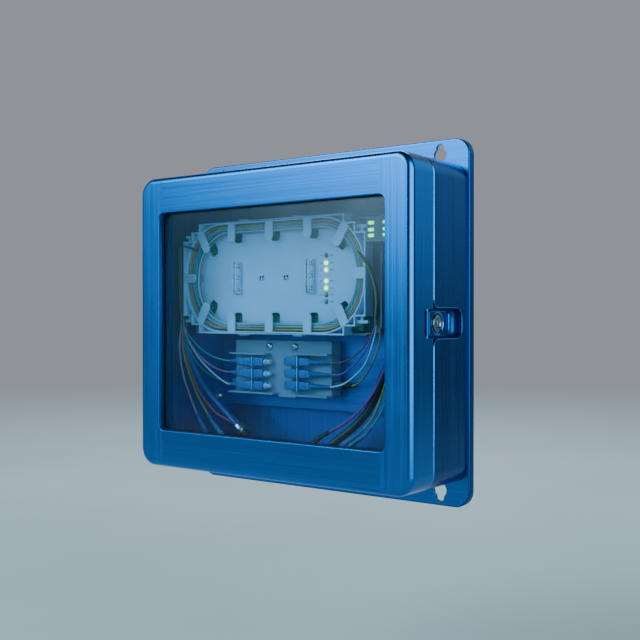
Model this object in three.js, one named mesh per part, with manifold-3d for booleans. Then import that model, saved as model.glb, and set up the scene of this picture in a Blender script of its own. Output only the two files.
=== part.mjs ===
// Wall-mounted optical network terminal: a brushed enclosure with a hinged window door,
// splice tray, status lights, connector bracket and cable leads.
// Millimetres. Origin: centre of the mounting plate's back face. +X right seen from the
// front, +Z up, the front of the door faces -Y.
import * as THREE from "three";
import { mergeVertices } from "three/addons/utils/BufferGeometryUtils.js";
import Module from "manifold-3d";

const wasm = await Module();
wasm.setup();

// ---------------------------------------------------------------- driving dimensions
const HW = 150;            // half width of door and housing
const HH = 134.3;          // half height of door and housing
const RC = 16;             // corner radius of door and housing
const WALL = 3;            // housing and door wall
const Y_FRONT = -96;       // front face of the door
const Y_DOOR_BACK = -63.4; // back edge of the door
const Y_SEAM = -62.6;      // front edge of the housing
const Y_TUB_BACK = -8.3;   // back of the housing
const PLATE_T = 8;         // depth of the folded mounting plate
const PLATE_HW = 152.1;
const PLATE_HH = 155.4;
const PLATE_R = 14.5;
const WIN = [-125, 125, -100.4, 101.2]; // window opening
const HINGE_X = -156, HINGE_Y = -63;    // door hinge axis
const HINGE_Z = [78, -78];              // hinge centres
const LEV_X = 147, LEV_Y = -69;         // latch lever pivot (vertical)
const LOCK_Y = -56.5;                   // lock axis (runs along X at Z = 0)
const TRAY_Y = -54;                     // front of the tray's rim
const TRAY_FLOOR = -44;                 // front of the tray's floor
const ROWS_L = [-36.9, -47.8, -58.9];   // left connector rows
const ROWS_R = [-35.6, -46.4, -57.2];   // right connector rows
const LED_Z = [52.4, 46.3, 36.5, 30.3, 24.3, 18.3];
const LED_X = 30.5, BUTTON_Z = 58.9;
const PORTS = [[-106, 0], [-82, 0], [14, 0], [48, 0]]; // floor ports (X)
const PORT_Y = -46;

// ---------------------------------------------------------------- solid helpers
const { Manifold, Mesh } = wasm;
function solid(geo) {
  const g = new THREE.BufferGeometry();
  g.setAttribute("position", geo.getAttribute("position").clone());
  if (geo.index) g.setIndex(geo.index.clone());
  const m = mergeVertices(g, 1e-4);
  return new Manifold(new Mesh({ numProp: 3,
    vertProperties: new Float32Array(m.getAttribute("position").array),
    triVerts: new Uint32Array(m.index.array) }));
}
function toGeo(man) {
  const mesh = man.getMesh();
  const g = new THREE.BufferGeometry();
  g.setAttribute("position", new THREE.BufferAttribute(new Float32Array(mesh.vertProperties), 3));
  g.setIndex(new THREE.BufferAttribute(new Uint32Array(mesh.triVerts), 1));
  g.computeVertexNormals();
  return g;
}
function add(...p) { let r = p[0]; for (let i = 1; i < p.length; i++) r = r.add(p[i]); return r; }
function cut(a, ...p) { let r = a; for (const b of p) r = r.subtract(b); return r; }

// ring points of a rounded rectangle, the same count for any size
function rrPts(x0, x1, z0, z1, r, n = 5) {
  const out = [];
  const c = [[x1 - r, z1 - r, 0], [x0 + r, z1 - r, 1], [x0 + r, z0 + r, 2], [x1 - r, z0 + r, 3]];
  for (const [cx, cz, q] of c) for (let i = 0; i <= n; i++) {
    const a = (q + i / n) * Math.PI / 2;
    out.push([cx + r * Math.cos(a), cz + r * Math.sin(a)]);
  }
  return out;
}
// loft through rings of [u, v] points at stations w; place(u, v, w) gives [x, y, z]
function loft(rings, place) {
  const n = rings[0].pts.length, pos = [], idx = [];
  for (const r of rings) for (const [u, v] of r.pts) pos.push(...place(u, v, r.w));
  for (let k = 0; k + 1 < rings.length; k++) for (let i = 0; i < n; i++) {
    const a = k * n + i, b = k * n + (i + 1) % n, c = a + n, d = b + n;
    idx.push(a, b, d, a, d, c);
  }
  const cap = THREE.ShapeUtils.triangulateShape(rings[0].pts.map(p => new THREE.Vector2(p[0], p[1])), []);
  for (const t of cap) idx.push(t[0], t[2], t[1]);
  const o = (rings.length - 1) * n;
  for (const t of cap) idx.push(o + t[0], o + t[1], o + t[2]);
  const g = new THREE.BufferGeometry();
  g.setAttribute("position", new THREE.Float32BufferAttribute(pos, 3));
  g.setIndex(idx);
  return solid(g);
}
// a ring drawn in (X, Z); w runs from the back (+Y) to the front (-Y)
const faceY = (u, v, w) => [u, -w, v];
// a ring drawn in (Y, Z); w runs along +X
const faceX = (u, v, w) => [w, u, v];
// a ring drawn in (X, Y); w runs along +Z
const faceZ = (u, v, w) => [u, v, w];
function slabY(pts, y0, y1) { return loft([{ pts, w: -y1 }, { pts, w: -y0 }], faceY); }
function slabX(pts, x0, x1) { return loft([{ pts, w: x0 }, { pts, w: x1 }], faceX); }
function slabZ(pts, z0, z1) { return loft([{ pts, w: z0 }, { pts, w: z1 }], faceZ); }
function box(x0, x1, y0, y1, z0, z1) { return slabZ([[x0, y0], [x1, y0], [x1, y1], [x0, y1]], z0, z1); }
function circ(cx, cy, r, n = 24) {
  const out = [];
  for (let i = 0; i < n; i++) { const a = i / n * 2 * Math.PI; out.push([cx + r * Math.cos(a), cy + r * Math.sin(a)]); }
  return out;
}
const cylX = (y, z, r, x0, x1, n) => slabX(circ(y, z, r, n), x0, x1);
const cylY = (x, z, r, y0, y1, n) => slabY(circ(x, z, r, n), y0, y1);
const cylZ = (x, y, r, z0, z1, n) => slabZ(circ(x, y, r, n), z0, z1);
// turned body: profile [radius, station] along an axis
function turned(profile, origin, dir, n = 20) {
  const g = new THREE.LatheGeometry(profile.map(p => new THREE.Vector2(p[0], p[1])), n);
  const q = new THREE.Quaternion().setFromUnitVectors(new THREE.Vector3(0, 1, 0), new THREE.Vector3(...dir).normalize());
  g.applyQuaternion(q); g.translate(...origin);
  let s = solid(g);
  if (s.volume() < 0) {
    const i = g.index.array; for (let k = 0; k < i.length; k += 3) { const t = i[k]; i[k] = i[k + 1]; i[k + 1] = t; }
    s = solid(g);
  }
  return s;
}
// round lead along a smooth line through points
function lead(points, r, sides = 6, steps = 16) {
  const c = new THREE.CatmullRomCurve3(points.map(p => new THREE.Vector3(...p)), false, "centripetal");
  const sh = new THREE.Shape();
  for (let i = 0; i < sides; i++) {
    const a = i / sides * 2 * Math.PI;
    if (i === 0) sh.moveTo(r * Math.cos(a), r * Math.sin(a)); else sh.lineTo(r * Math.cos(a), r * Math.sin(a));
  }
  return solid(new THREE.ExtrudeGeometry(sh, { steps, bevelEnabled: false, extrudePath: c, curveSegments: 1 }));
}
const group = new THREE.Group();
group.name = "optical_network_terminal";
function put(name, man, color, roughness = 0.5, metalness = 0) {
  const m = new THREE.Mesh(toGeo(man), new THREE.MeshStandardMaterial({ color, roughness, metalness }));
  m.name = name;
  group.add(m);
}
const BLUE = 0x1e6fbe, DARK = 0x1b2b44, STEEL = 0xb9bec6, ABS = 0xdde3ea, GREY = 0x9aa3ad,
  SC = 0x2f6fb4, CAPW = 0xe6e6de, RUB = 0x15171a, PCB = 0x1f6b45, LIT = 0xb6ff3c;

// ---------------------------------------------------------------- mounting plate (wall side)
{
  const rr = (d, n) => rrPts(-PLATE_HW + d, PLATE_HW - d, -PLATE_HH + d, PLATE_HH - d, PLATE_R - d, n);
  let p = loft([{ pts: rr(0, 6), w: 0 }, { pts: rr(0, 6), w: PLATE_T - 1.6 }, { pts: rr(0.5, 6), w: PLATE_T - 0.5 },
    { pts: rr(1.6, 6), w: PLATE_T }], faceY);
  p = cut(p, slabY(rr(3, 4), -PLATE_T + 3, 1));
  p = add(p, box(-45, 45, -PLATE_T + 2.5, 0, -45, 45));
  p = add(p, box(-149.5, 149.5, -PLATE_T + 2.5, -2, -1.5, 1.5), box(-1.5, 1.5, -PLATE_T + 2.5, -2, -152.6, 152.6));
  for (const sx of [-1, 1]) for (const sz of [-1, 1]) {
    const x = 124 * sx;
    p = cut(p, cylY(x, sz * 142, 6.3, -9, -4, 20), cylY(x, sz * 148, 3.9, -9, -4, 18),
      slabY(sz > 0 ? [[x - 3.9, 142], [x + 3.9, 142], [x + 3.9, 148], [x - 3.9, 148]]
        : [[x - 3.9, -148], [x + 3.9, -148], [x + 3.9, -142], [x - 3.9, -142]], -9, -4));
  }
  put("back_plate", p, BLUE, 0.35, 0.8);
}

// ---------------------------------------------------------------- housing
const outerRR = (d, n = 6) => rrPts(-HW + d, HW - d, -HH + d, HH - d, RC - d, n);
// outline of the latch recess in (Y, Z), grown by g
function pocketPts(g) {
  const out = [], yf = Y_SEAM - 3, ye = -17 + g, h = 12.4 + g, R = 8;
  out.push([yf, -18.8 - g]);
  out.push([Y_SEAM, -18.8 - g]);
  for (let i = 1; i <= 4; i++) { const a = i / 4 * Math.PI / 2; out.push([Y_SEAM + 7.2 * (1 - Math.cos(a)), -h - (6.4) * (1 - Math.sin(a))]); }
  for (let i = 0; i <= 5; i++) { const a = -Math.PI / 2 + i / 5 * Math.PI / 2; out.push([ye - R + R * Math.cos(a), -h + R + R * Math.sin(a)]); }
  for (let i = 0; i <= 5; i++) { const a = i / 5 * Math.PI / 2; out.push([ye - R + R * Math.cos(a), h - R + R * Math.sin(a)]); }
  for (let i = 3; i >= 0; i--) { const a = i / 4 * Math.PI / 2; out.push([Y_SEAM + 7.2 * (1 - Math.cos(a)), h + (6.4) * (1 - Math.sin(a))]); }
  out.push([yf, 18.8 + g]);
  return out;
}
{
  let t = loft([{ pts: outerRR(0), w: -Y_TUB_BACK }, { pts: outerRR(0), w: -Y_SEAM - 0.8 }, { pts: outerRR(0.8), w: -Y_SEAM }], faceY);
  t = cut(t, slabY(outerRR(WALL), Y_SEAM - 1, Y_TUB_BACK - WALL));
  // inward ledge that the door seal closes against
  t = add(t, cut(slabY(outerRR(WALL - 0.2), Y_SEAM + 1.2, Y_SEAM + 4.2), slabY(outerRR(6.8), Y_SEAM, Y_SEAM + 5)));
  t = cut(t, slabX(pocketPts(0), 146, 151), slabX(pocketPts(2.3), 138.2, 147), box(130, 147, Y_SEAM - 1, Y_SEAM + 6, -24, 24));
  // floor openings for the port blocks
  t = cut(t, box(-118.2, -69.8, PORT_Y - 9.2, PORT_Y + 9.2, -136, -130), box(1.8, 60.2, PORT_Y - 9.2, PORT_Y + 9.2, -136, -130));
  put("body_shell", t, BLUE, 0.35, 0.8);
}
{
  let c = slabX(pocketPts(2), 138.4, 146.8);
  c = cut(c, slabX(pocketPts(0), 140.4, 152), box(130, 152, Y_SEAM - 5, Y_SEAM + 0.05, -30, 30));
  // floor slot for the lock, open to the seam, with a keeper lug behind it
  c = cut(c, box(130, 141, Y_SEAM - 5, -36, -8.3, 8.3));
  c = add(c, box(134.6, 138.6, Y_SEAM + 0.1, -60.3, 8.6, 14.5));
  // raised grip edge at the finger end
  c = add(c, box(140.2, 142.6, -25.8, -24.6, -6.5, 8));
  put("latch_pocket", c, DARK, 0.4, 0.7);
}

// ---------------------------------------------------------------- door
{
  const FIL = 5.5, fil = [];
  for (let i = 0; i <= 4; i++) { const a = i / 4 * Math.PI / 2; fil.push({ pts: outerRR(FIL * (1 - Math.cos(a))), w: -Y_FRONT - FIL * (1 - Math.sin(a)) }); }
  let d = loft([{ pts: outerRR(0), w: -Y_DOOR_BACK }, ...fil], faceY);
  d = cut(d, slabY(outerRR(WALL), Y_FRONT + 5, -60));
  const win = rrPts(...WIN, 6, 4);
  d = cut(d, slabY(win, -98, -88));
  // latch notch with a closed liner and two pin bosses
  d = add(d, box(141.4, 148, -79.6, Y_DOOR_BACK, -16, 16));
  d = cut(d, box(143.9, 152, -77.5, -60, -11.4, 11.4));
  d = cut(d, cylZ(LEV_X, LEV_Y, 1.26, -14.8, 14.8, 16));
  put("door_frame", d, BLUE, 0.35, 0.8);
}
{
  const g = cut(slabY(rrPts(-131, 131, -106.4, 107.2, 9, 3), -90.8, -89.7), slabY(rrPts(-123.9, 123.9, -99.3, 100.1, 5, 3), -92, -88));
  put("window_gasket", g, RUB, 0.8, 0);
}
put("window_pane", slabY(rrPts(-131, 131, -106.4, 107.2, 9, 3), -89.5, -86.5), 0xbfd3e6, 0.05, 0);
{
  let s = cut(slabY(outerRR(3.3), -67.4, -62), slabY(outerRR(6.6), -68, -61));
  s = cut(s, box(138, 150, -70, -60, -23, 23));
  put("door_seal", s, RUB, 0.9, 0);
}

// ---------------------------------------------------------------- hinges
HINGE_Z.forEach((z, k) => {
  const tag = k === 0 ? "upper" : "lower";
  // fixed leaf with its two knuckles and the pressed-in pin
  let b = add(box(-152.6, -150.4, -62.2, -40, z - 20, z + 20), cylZ(HINGE_X, HINGE_Y, 4.4, z - 20, z - 8.3, 24), cylZ(HINGE_X, HINGE_Y, 4.4, z + 8.3, z + 20, 24),
    box(-156, -150.4, -62.2, -59.4, z - 20, z - 8.3), box(-156, -150.4, -62.2, -59.4, z + 8.3, z + 20));
  b = cut(b, cylZ(HINGE_X, HINGE_Y, 5.0, z - 8.3, z + 8.3, 24));
  b = add(b, cylZ(HINGE_X, HINGE_Y, 1.8, z - 19, z + 19, 24));
  put(`hinge_${tag}_fixed_leaf`, b, STEEL, 0.35, 0.9);
  let m = add(box(-152.6, -150.4, -86, -63.8, z - 20, z + 20), cylZ(HINGE_X, HINGE_Y, 4.4, z - 8, z + 8, 24),
    box(-156, -150.4, -66.6, -63.8, z - 8, z + 8));
  m = cut(m, cylZ(HINGE_X, HINGE_Y, 5.0, z - 22, z - 8, 24), cylZ(HINGE_X, HINGE_Y, 5.0, z + 8, z + 22, 24), cylZ(HINGE_X, HINGE_Y, 1.87, z - 9, z + 9, 24));
  put(`hinge_${tag}_moving_leaf`, m, STEEL, 0.35, 0.9);
});

// ---------------------------------------------------------------- latch lever and lock
put("latch_pin", cylZ(LEV_X, LEV_Y, 1.2, -14.6, 14.6, 16), STEEL, 0.3, 0.9);
{
  const plate = rrPts(-69, -42.6, -10.3, 10.3, 2, 3);
  const small = rrPts(-68.2, -43.4, -9.5, 9.5, 1.4, 3);
  let l = loft([{ pts: plate, w: 146.8 }, { pts: plate, w: 148.9 }, { pts: small, w: 149.6 }], faceX);
  l = add(l, cylZ(LEV_X, LEV_Y, 2.7, -10.3, 10.3, 20));
  l = cut(l, cylZ(LEV_X, LEV_Y, 1.27, -11, 11, 16), cylX(LOCK_Y, 0, 9.6, 148.5, 151, 28), cylX(LOCK_Y, 0, 5.8, 140, 152, 24));
  put("latch_lever", l, DARK, 0.35, 0.8);
}
{
  let b = turned([[0, 0], [5.5, 0], [5.5, 10.4], [6.5, 10.4], [6.5, 11.2], [6.0, 11.7], [0, 11.7]], [138.3, LOCK_Y, 0], [1, 0, 0], 24);
  b = cut(b, cylX(LOCK_Y, 0, 3.6, 137, 151, 24));
  put("lock_barrel", b, STEEL, 0.25, 1);
}
{
  let n = cut(cylX(LOCK_Y, 0, 7.9, 144.3, 146.5, 6), cylX(LOCK_Y, 0, 5.7, 140, 150, 24));
  put("lock_nut", n, STEEL, 0.35, 0.9);
}
{
  let p = cylX(LOCK_Y, 0, 3.45, 138.3, 149.5, 24);
  p = add(p, box(135.4, 138.5, LOCK_Y - 2, LOCK_Y + 2, -2, 2));
  p = cut(p, box(145.5, 151, LOCK_Y - 0.55, LOCK_Y + 0.55, -2.2, 2.2));
  put("lock_plug", p, STEEL, 0.25, 1);
}
{
  let c = slabX([...rrPts(LOCK_Y - 3.4, LOCK_Y + 12.4, -3.4, 3.4, 3, 4)], 136.0, 137.9);
  c = cut(c, box(134, 140, LOCK_Y - 2.06, LOCK_Y + 2.06, -2.06, 2.06));
  put("lock_cam", c, STEEL, 0.4, 0.9);
}

// ---------------------------------------------------------------- chassis plate
{
  let c = slabY(rrPts(-113, 113, -79.5, 96, 4, 3), -20, -18);
  c = add(c, slabY(rrPts(-126, -108, -80, -66, 6.5, 3), -20, -18), slabY(rrPts(108, 126, -80, -66, 6.5, 3), -20, -18));
  // folded lower edge
  c = add(c, box(-109, 109, -20, -14, -79.5, -77.7));
  for (const [x, z] of [[-119, -73], [119, -73], [-100, 86], [100, 86]]) c = add(c, cylY(x, z, 5, -19, -11.6, 16));
  c = cut(c, cylY(-119, -73, 2.2, -21, -13, 12), cylY(119, -73, 2.2, -21, -13, 12));
  put("chassis_plate", c, BLUE, 0.4, 0.7);
}
for (const [n, x] of [["left", -119], ["right", 119]])
  put(`chassis_screw_${n}`, turned([[0, 0], [1.9, 0], [1.9, 6.3], [4.4, 6.3], [4.0, 7.8], [2.6, 9.0], [0, 9.5]], [x, -13.9, -73], [0, -1, 0], 16), STEEL, 0.2, 1);

// ---------------------------------------------------------------- board carrier and board
{
  const o = [[-132, -11], [70, -11], [70, -9.8], [80, -9.8], [86, -4], [86, 83.5], [80, 89.5], [70, 89.5], [70, 91], [-132, 91]];
  const i = [[-130, -9], [68, -9], [79, -7.8], [84, -3.2], [84, 82.7], [79, 87.5], [68, 89], [-130, 89]];
  let c = cut(slabY(o, -39.7, -28), slabY(i, -41, -30));
  for (const [x, z] of [[-118, 6], [-118, 76], [58, 6], [58, 76], [-30, 40]]) c = add(c, cylY(x, z, 3.2, -36.0, -29.5, 12));
  for (const [x, z] of [[-100, 4], [-100, 80], [50, 4], [50, 80]]) c = add(c, cylY(x, z, 4.5, -28.5, -20.3, 12));
  put("board_carrier", c, GREY, 0.6, 0);
}
put("main_board", slabY(rrPts(-127, 67, -7, 87, 3, 2), -37.7, -36.2), PCB, 0.5, 0);
put("optical_module", slabY(rrPts(-90, -60, 20, 40, 1.5, 2), -35.9, -31), STEEL, 0.4, 0.8);

// ---------------------------------------------------------------- splice tray
{
  const o = [[-114, -10.8], [56.5, -10.8], [56.5, -3], [68, -3], [68, 5.5], [78.6, 5.5], [78.6, 77.5], [68, 77.5], [68, 86], [56.5, 86],
    [56.5, 93.6], [-114, 93.6], [-114, 86], [-124, 86], [-124, 77.5], [-134.5, 77.5], [-134.5, 5.5], [-124, 5.5], [-124, -3], [-114, -3]];
  const inset = (p, d) => {
    const n = p.length, out = [];
    for (let k = 0; k < n; k++) {
      const a = p[(k + n - 1) % n], b = p[k], c = p[(k + 1) % n];
      const d1 = [b[0] - a[0], b[1] - a[1]], d2 = [c[0] - b[0], c[1] - b[1]];
      const l1 = Math.hypot(...d1), l2 = Math.hypot(...d2);
      out.push([b[0] - d1[1] / l1 * d - d2[1] / l2 * d, b[1] + d1[0] / l1 * d + d2[0] / l2 * d]);
    }
    return out;
  };
  const outline = slabY(o, TRAY_Y, TRAY_FLOOR + 2);
  let t = cut(outline, slabY(inset(o, 1.5), TRAY_Y - 1, TRAY_FLOOR));
  // curved guide wall at the four corners
  const ring = cut(slabY(rrPts(-133.4, 77.5, -9.7, 92.5, 46, 7), TRAY_Y + 0.8, TRAY_FLOOR + 0.5), slabY(rrPts(-132.1, 76.2, -8.4, 91.2, 44.7, 7), TRAY_Y, TRAY_FLOOR + 1));
  t = add(t, ring.intersect(outline));
  // hold-down fingers and the mould windows under them
  const fingers = [], holes = [];
  const finger = (x, z, a, len, w, hw, over = 0.5) => {
    const c = Math.cos(a), s = Math.sin(a);
    const tf = (pts) => pts.map(([u, v]) => [x + u * c - v * s, z + u * s + v * c]);
    const tip = [];
    for (let i = 0; i <= 4; i++) { const b = -Math.PI / 2 + i / 4 * Math.PI; tip.push([len - w * 0.35 + w * 0.35 * Math.cos(b), w / 2 * Math.sin(b)]); }
    fingers.push(slabY(tf([[0, -w / 2], ...tip, [0, w / 2]]), TRAY_Y, TRAY_Y + 1.4));
    holes.push(slabY(tf([[3, -hw / 2], [len - 1.5, -hw / 2], [len + over, -hw / 2 + 2], [len + over, hw / 2 - 2], [len - 1.5, hw / 2], [3, hw / 2]]), TRAY_FLOOR - 1, TRAY_FLOOR + 3));
  };
  for (const x of [-72.6, -27.2, 16.6]) { finger(x, 93, -Math.PI / 2, 18.2, 8.6, 10.6); finger(x, -10.2, Math.PI / 2, 18.6, 8.6, 10.6); }
  finger(-134, 42, 0, 15.6, 8.2, 10.5); finger(78, 42.3, Math.PI, 13.4, 9.6, 11);
  finger(-113.3, 85.2, -1.054, 21.7, 8.8, 10.6, 3); finger(-113.6, -1.2, 1.052, 22, 8.8, 10.6, 2);
  finger(58, 85, Math.PI + 1.007, 21.5, 8.8, 10.6, 3); finger(57.4, -1.4, Math.PI - 1.094, 19.5, 8.8, 10.6, 2);
  t = cut(t, ...holes);
  t = add(t, ...fingers.map(f => f.intersect(outline)));
  // light and button holes, clip slots
  for (const z of LED_Z) t = cut(t, cylY(LED_X, z, 1.95, -46, -41, 12));
  t = cut(t, cylY(LED_X, BUTTON_Z, 1.9, -46, -41, 12));
  for (const x of [-43.7, -15]) t = cut(t, box(x - 2.4, x - 0.8, -45, -41, 39.2, 43.4), box(x + 0.8, x + 2.4, -45, -41, 39.2, 43.4));
  // corner hinge ears and edge clips
  for (const [x, z] of [[-129, 82], [-129, 0.9], [73, 82], [73, 0.9]]) t = add(t, box(x - 5, x + 6, TRAY_Y + 3, TRAY_Y + 5.6, z - 1.3, z + 1.3), box(x - 1.2, x + 1.2, TRAY_Y + 3, TRAY_Y + 5.6, z < 40 ? z : z - 5, z < 40 ? z + 5 : z));
  for (const x of [-60, 4]) for (const [z0, z1] of [[93.2, 95.0], [-12.2, -10.4]]) t = add(t, box(x - 5, x + 5, TRAY_Y + 2.5, TRAY_Y + 7, z0, z1));
  // feet that stand on the board carrier's rim
  for (const [x, z] of [[-112, 89], [52, 89], [-112, -9.2], [52, -9.2]]) t = add(t, box(x - 4, x + 4, TRAY_FLOOR + 1.5, -40.0, z - 0.9, z + 0.9));
  put("splice_tray", t, ABS, 0.45, 0);
}
for (const [n, x] of [["left", -72.8], ["right", 13.2]]) {
  let h = slabY(rrPts(x - 4.3, x + 4.3, 26, 56.4, 1, 2), -48.6, TRAY_FLOOR - 0.15);
  h = cut(h, box(x - 2.2, x + 2.2, -50, -46.2, 28, 54.4));
  for (const z of [30.5, 41.2, 52]) h = add(h, box(x - 4.3, x - 1.4, -49.4, -47, z - 1, z + 1), box(x + 1.4, x + 4.3, -49.4, -47, z - 1, z + 1));
  put(`splice_holder_${n}`, h, ABS, 0.4, 0);
}
{
  let g = box(LED_X - 2.4, LED_X + 2.4, -41.7, -39.7, 16, 54.4);
  for (const z of LED_Z) g = add(g, turned([[0, 0], [1.6, 0], [1.6, 3.4], [1.2, 4.2], [0, 4.6]], [LED_X, -41.0, z], [0, -1, 0], 12));
  put("led_light_guide", g, LIT, 0.3, 0);
}
put("reset_button", turned([[0, 0], [1.5, 0], [1.5, 6.2], [1.2, 6.6], [0, 6.6]], [LED_X, -38.6, BUTTON_Z], [0, -1, 0], 12), 0x8d99a6, 0.5, 0);
const STATUS_Z = [83.9, 78.1, 73.3];
{
  // status block beside the tray with two columns of three windows
  let s = slabY(rrPts(79.6, 104, 67.8, 89.2, 1.5, 2), -54, -40.4);
  s = add(s, box(86.4, 104, -41, -28.5, 69, 88));
  s = cut(s, box(80.8, 102.8, -52.2, -39, 69.4, 87.6), box(88, 102.4, -45, -27, 70.6, 86.4));
  for (const z of STATUS_Z) s = cut(s, box(80.9, 87.3, -56, -51.5, z - 1.4, z + 1.4), box(95.6, 102.0, -56, -51.5, z - 1.4, z + 1.4));
  put("status_block", s, 0x6f7984, 0.6, 0);
  let g = box(81.2, 102.4, -51.9, -50.2, 69.9, 87.1);
  for (const z of STATUS_Z) g = add(g, box(81.2, 87.0, -53.8, -51.5, z - 1.1, z + 1.1), box(95.9, 101.7, -53.8, -51.5, z - 1.1, z + 1.1));
  put("status_light_guide", g, LIT, 0.3, 0);
}

// ---------------------------------------------------------------- fibre loop in the tray
{
  const n = 56, pos = [], idx = [], k = 8;
  const x0 = -124.5, x1 = 68.6, z0 = -1.4, z1 = 84.2, R = 38;
  const line = [];
  const c = [[x1 - R, z1 - R, 0], [x0 + R, z1 - R, 1], [x0 + R, z0 + R, 2], [x1 - R, z0 + R, 3]];
  for (const [cx, cz, q] of c) for (let i = 0; i <= 10; i++) { const a = (q + i / 10) * Math.PI / 2; line.push([cx + R * Math.cos(a), cz + R * Math.sin(a), a]); }
  const m = line.length;
  for (const [x, z, a] of line) for (let j = 0; j < k; j++) {
    const b = j / k * 2 * Math.PI + Math.PI / 8;
    const u = 6.4 * Math.cos(b), v = 3.1 * Math.sin(b);
    pos.push(x + u * Math.cos(a), -48.2 - v, z + u * Math.sin(a));
  }
  for (let i = 0; i < m; i++) for (let j = 0; j < k; j++) {
    const a = i * k + j, b = i * k + (j + 1) % k, c2 = ((i + 1) % m) * k + j, d = ((i + 1) % m) * k + (j + 1) % k;
    idx.push(a, c2, b, b, c2, d);
  }
  const g = new THREE.BufferGeometry();
  g.setAttribute("position", new THREE.Float32BufferAttribute(pos, 3)); g.setIndex(idx);
  let s = solid(g);
  if (s.volume() < 0) { for (let i = 0; i < idx.length; i += 3) { const t = idx[i]; idx[i] = idx[i + 1]; idx[i + 1] = t; } g.setIndex(idx); s = solid(g); }
  put("fibre_loop", s, 0xc98a4a, 0.6, 0);
}

// ---------------------------------------------------------------- connector bracket
{
  let b = slabY(rrPts(-84, 29, -67, -17, 1.5, 2), -34, -20.4);
  b = cut(b, box(-82.2, 27.2, -32, -19, -65.2, -18.8));
  // shelves above and below each group
  b = add(b, box(-85, -41, -43, -32.5, -30.2, -28.7), box(-12.5, 30.5, -43, -32.5, -29.4, -27.9),
    box(-86, -31.5, -43, -32.5, -66.4, -64.9), box(-7, 30, -43, -32.5, -66.6, -65.1), box(-30.5, -10, -36, -32.5, -68.5, -65.5));
  b = cut(b, cylY(-42.1, -19.9 - 2.6, 2.1, -36, -30, 12), cylY(-12.4, -22.5, 2.1, -36, -30, 12));
  for (const x of [-80, 25]) b = add(b, box(x - 2, x + 2, -33, -20.3, -44, -40));
  put("connector_bracket", b, GREY, 0.6, 0);
}
for (const [n, x] of [["left", -42.1], ["right", -12.4]])
  put(`bracket_screw_${n}`, turned([[0, 0], [1.8, 0], [1.8, 7], [3.6, 7], [3.4, 8.2], [2.2, 9.2], [0, 9.5]], [x, -27.2, -22.5], [0, -1, 0], 14), STEEL, 0.25, 1);

ROWS_L.forEach((z, k) => {
  let a = add(box(-58.2, -44.6, -42, -34.3, z - 3.9, z + 3.9), box(-59.2, -57.9, -43.4, -34.3, z - 5.2, z + 5.2));
  // open socket on the capped side
  a = cut(a, cylX(-38.1, z, 2.6, -52, -40, 14));
  put(`adapter_left_${k + 1}`, a, SC, 0.4, 0);
  let p = add(box(-76.4, -59.5, -41.6, -34.6, z - 3.6, z + 3.6), turned([[0, 0], [2.6, 0], [1.5, 11], [0, 11]], [-76.2, -38.1, z], [-1, 0, 0], 10));
  put(`plug_left_${k + 1}`, p, SC, 0.4, 0);
  put(`dust_cap_${k + 1}`, turned([[0, 0], [2.4, 0], [2.4, 7.1], [3.2, 7.1], [3.5, 9.4], [2.8, 12.4], [3.3, 14.6], [2.6, 17.1], [0, 17.4]], [-51.4, -38.1, z], [1, 0, 0], 14), CAPW, 0.4, 0);
});
ROWS_R.forEach((z, k) => {
  const a = add(box(-18.2, -5.3, -42, -34.3, z - 3.9, z + 3.9), box(-5.5, -4.2, -43.4, -34.3, z - 5.2, z + 5.2));
  put(`adapter_right_${k + 1}`, a, SC, 0.4, 0);
  const prof = [[0, 0], [2.3, 0]];
  for (let i = 0; i < 5; i++) { const s = 2.2 + i * 4.2, r = 2.5 - i * 0.27; prof.push([r, s], [r, s + 2.1], [r - 0.7, s + 2.1], [r - 0.75, s + 4.2]); }
  prof.push([0, 23.2]);
  const p = add(box(-3.9, 8.4, -41.6, -34.6, z - 3.6, z + 3.6), turned(prof, [8.2, -38.1, z], [1, 0, 0], 10));
  put(`plug_right_${k + 1}`, p, SC, 0.4, 0);
});

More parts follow.
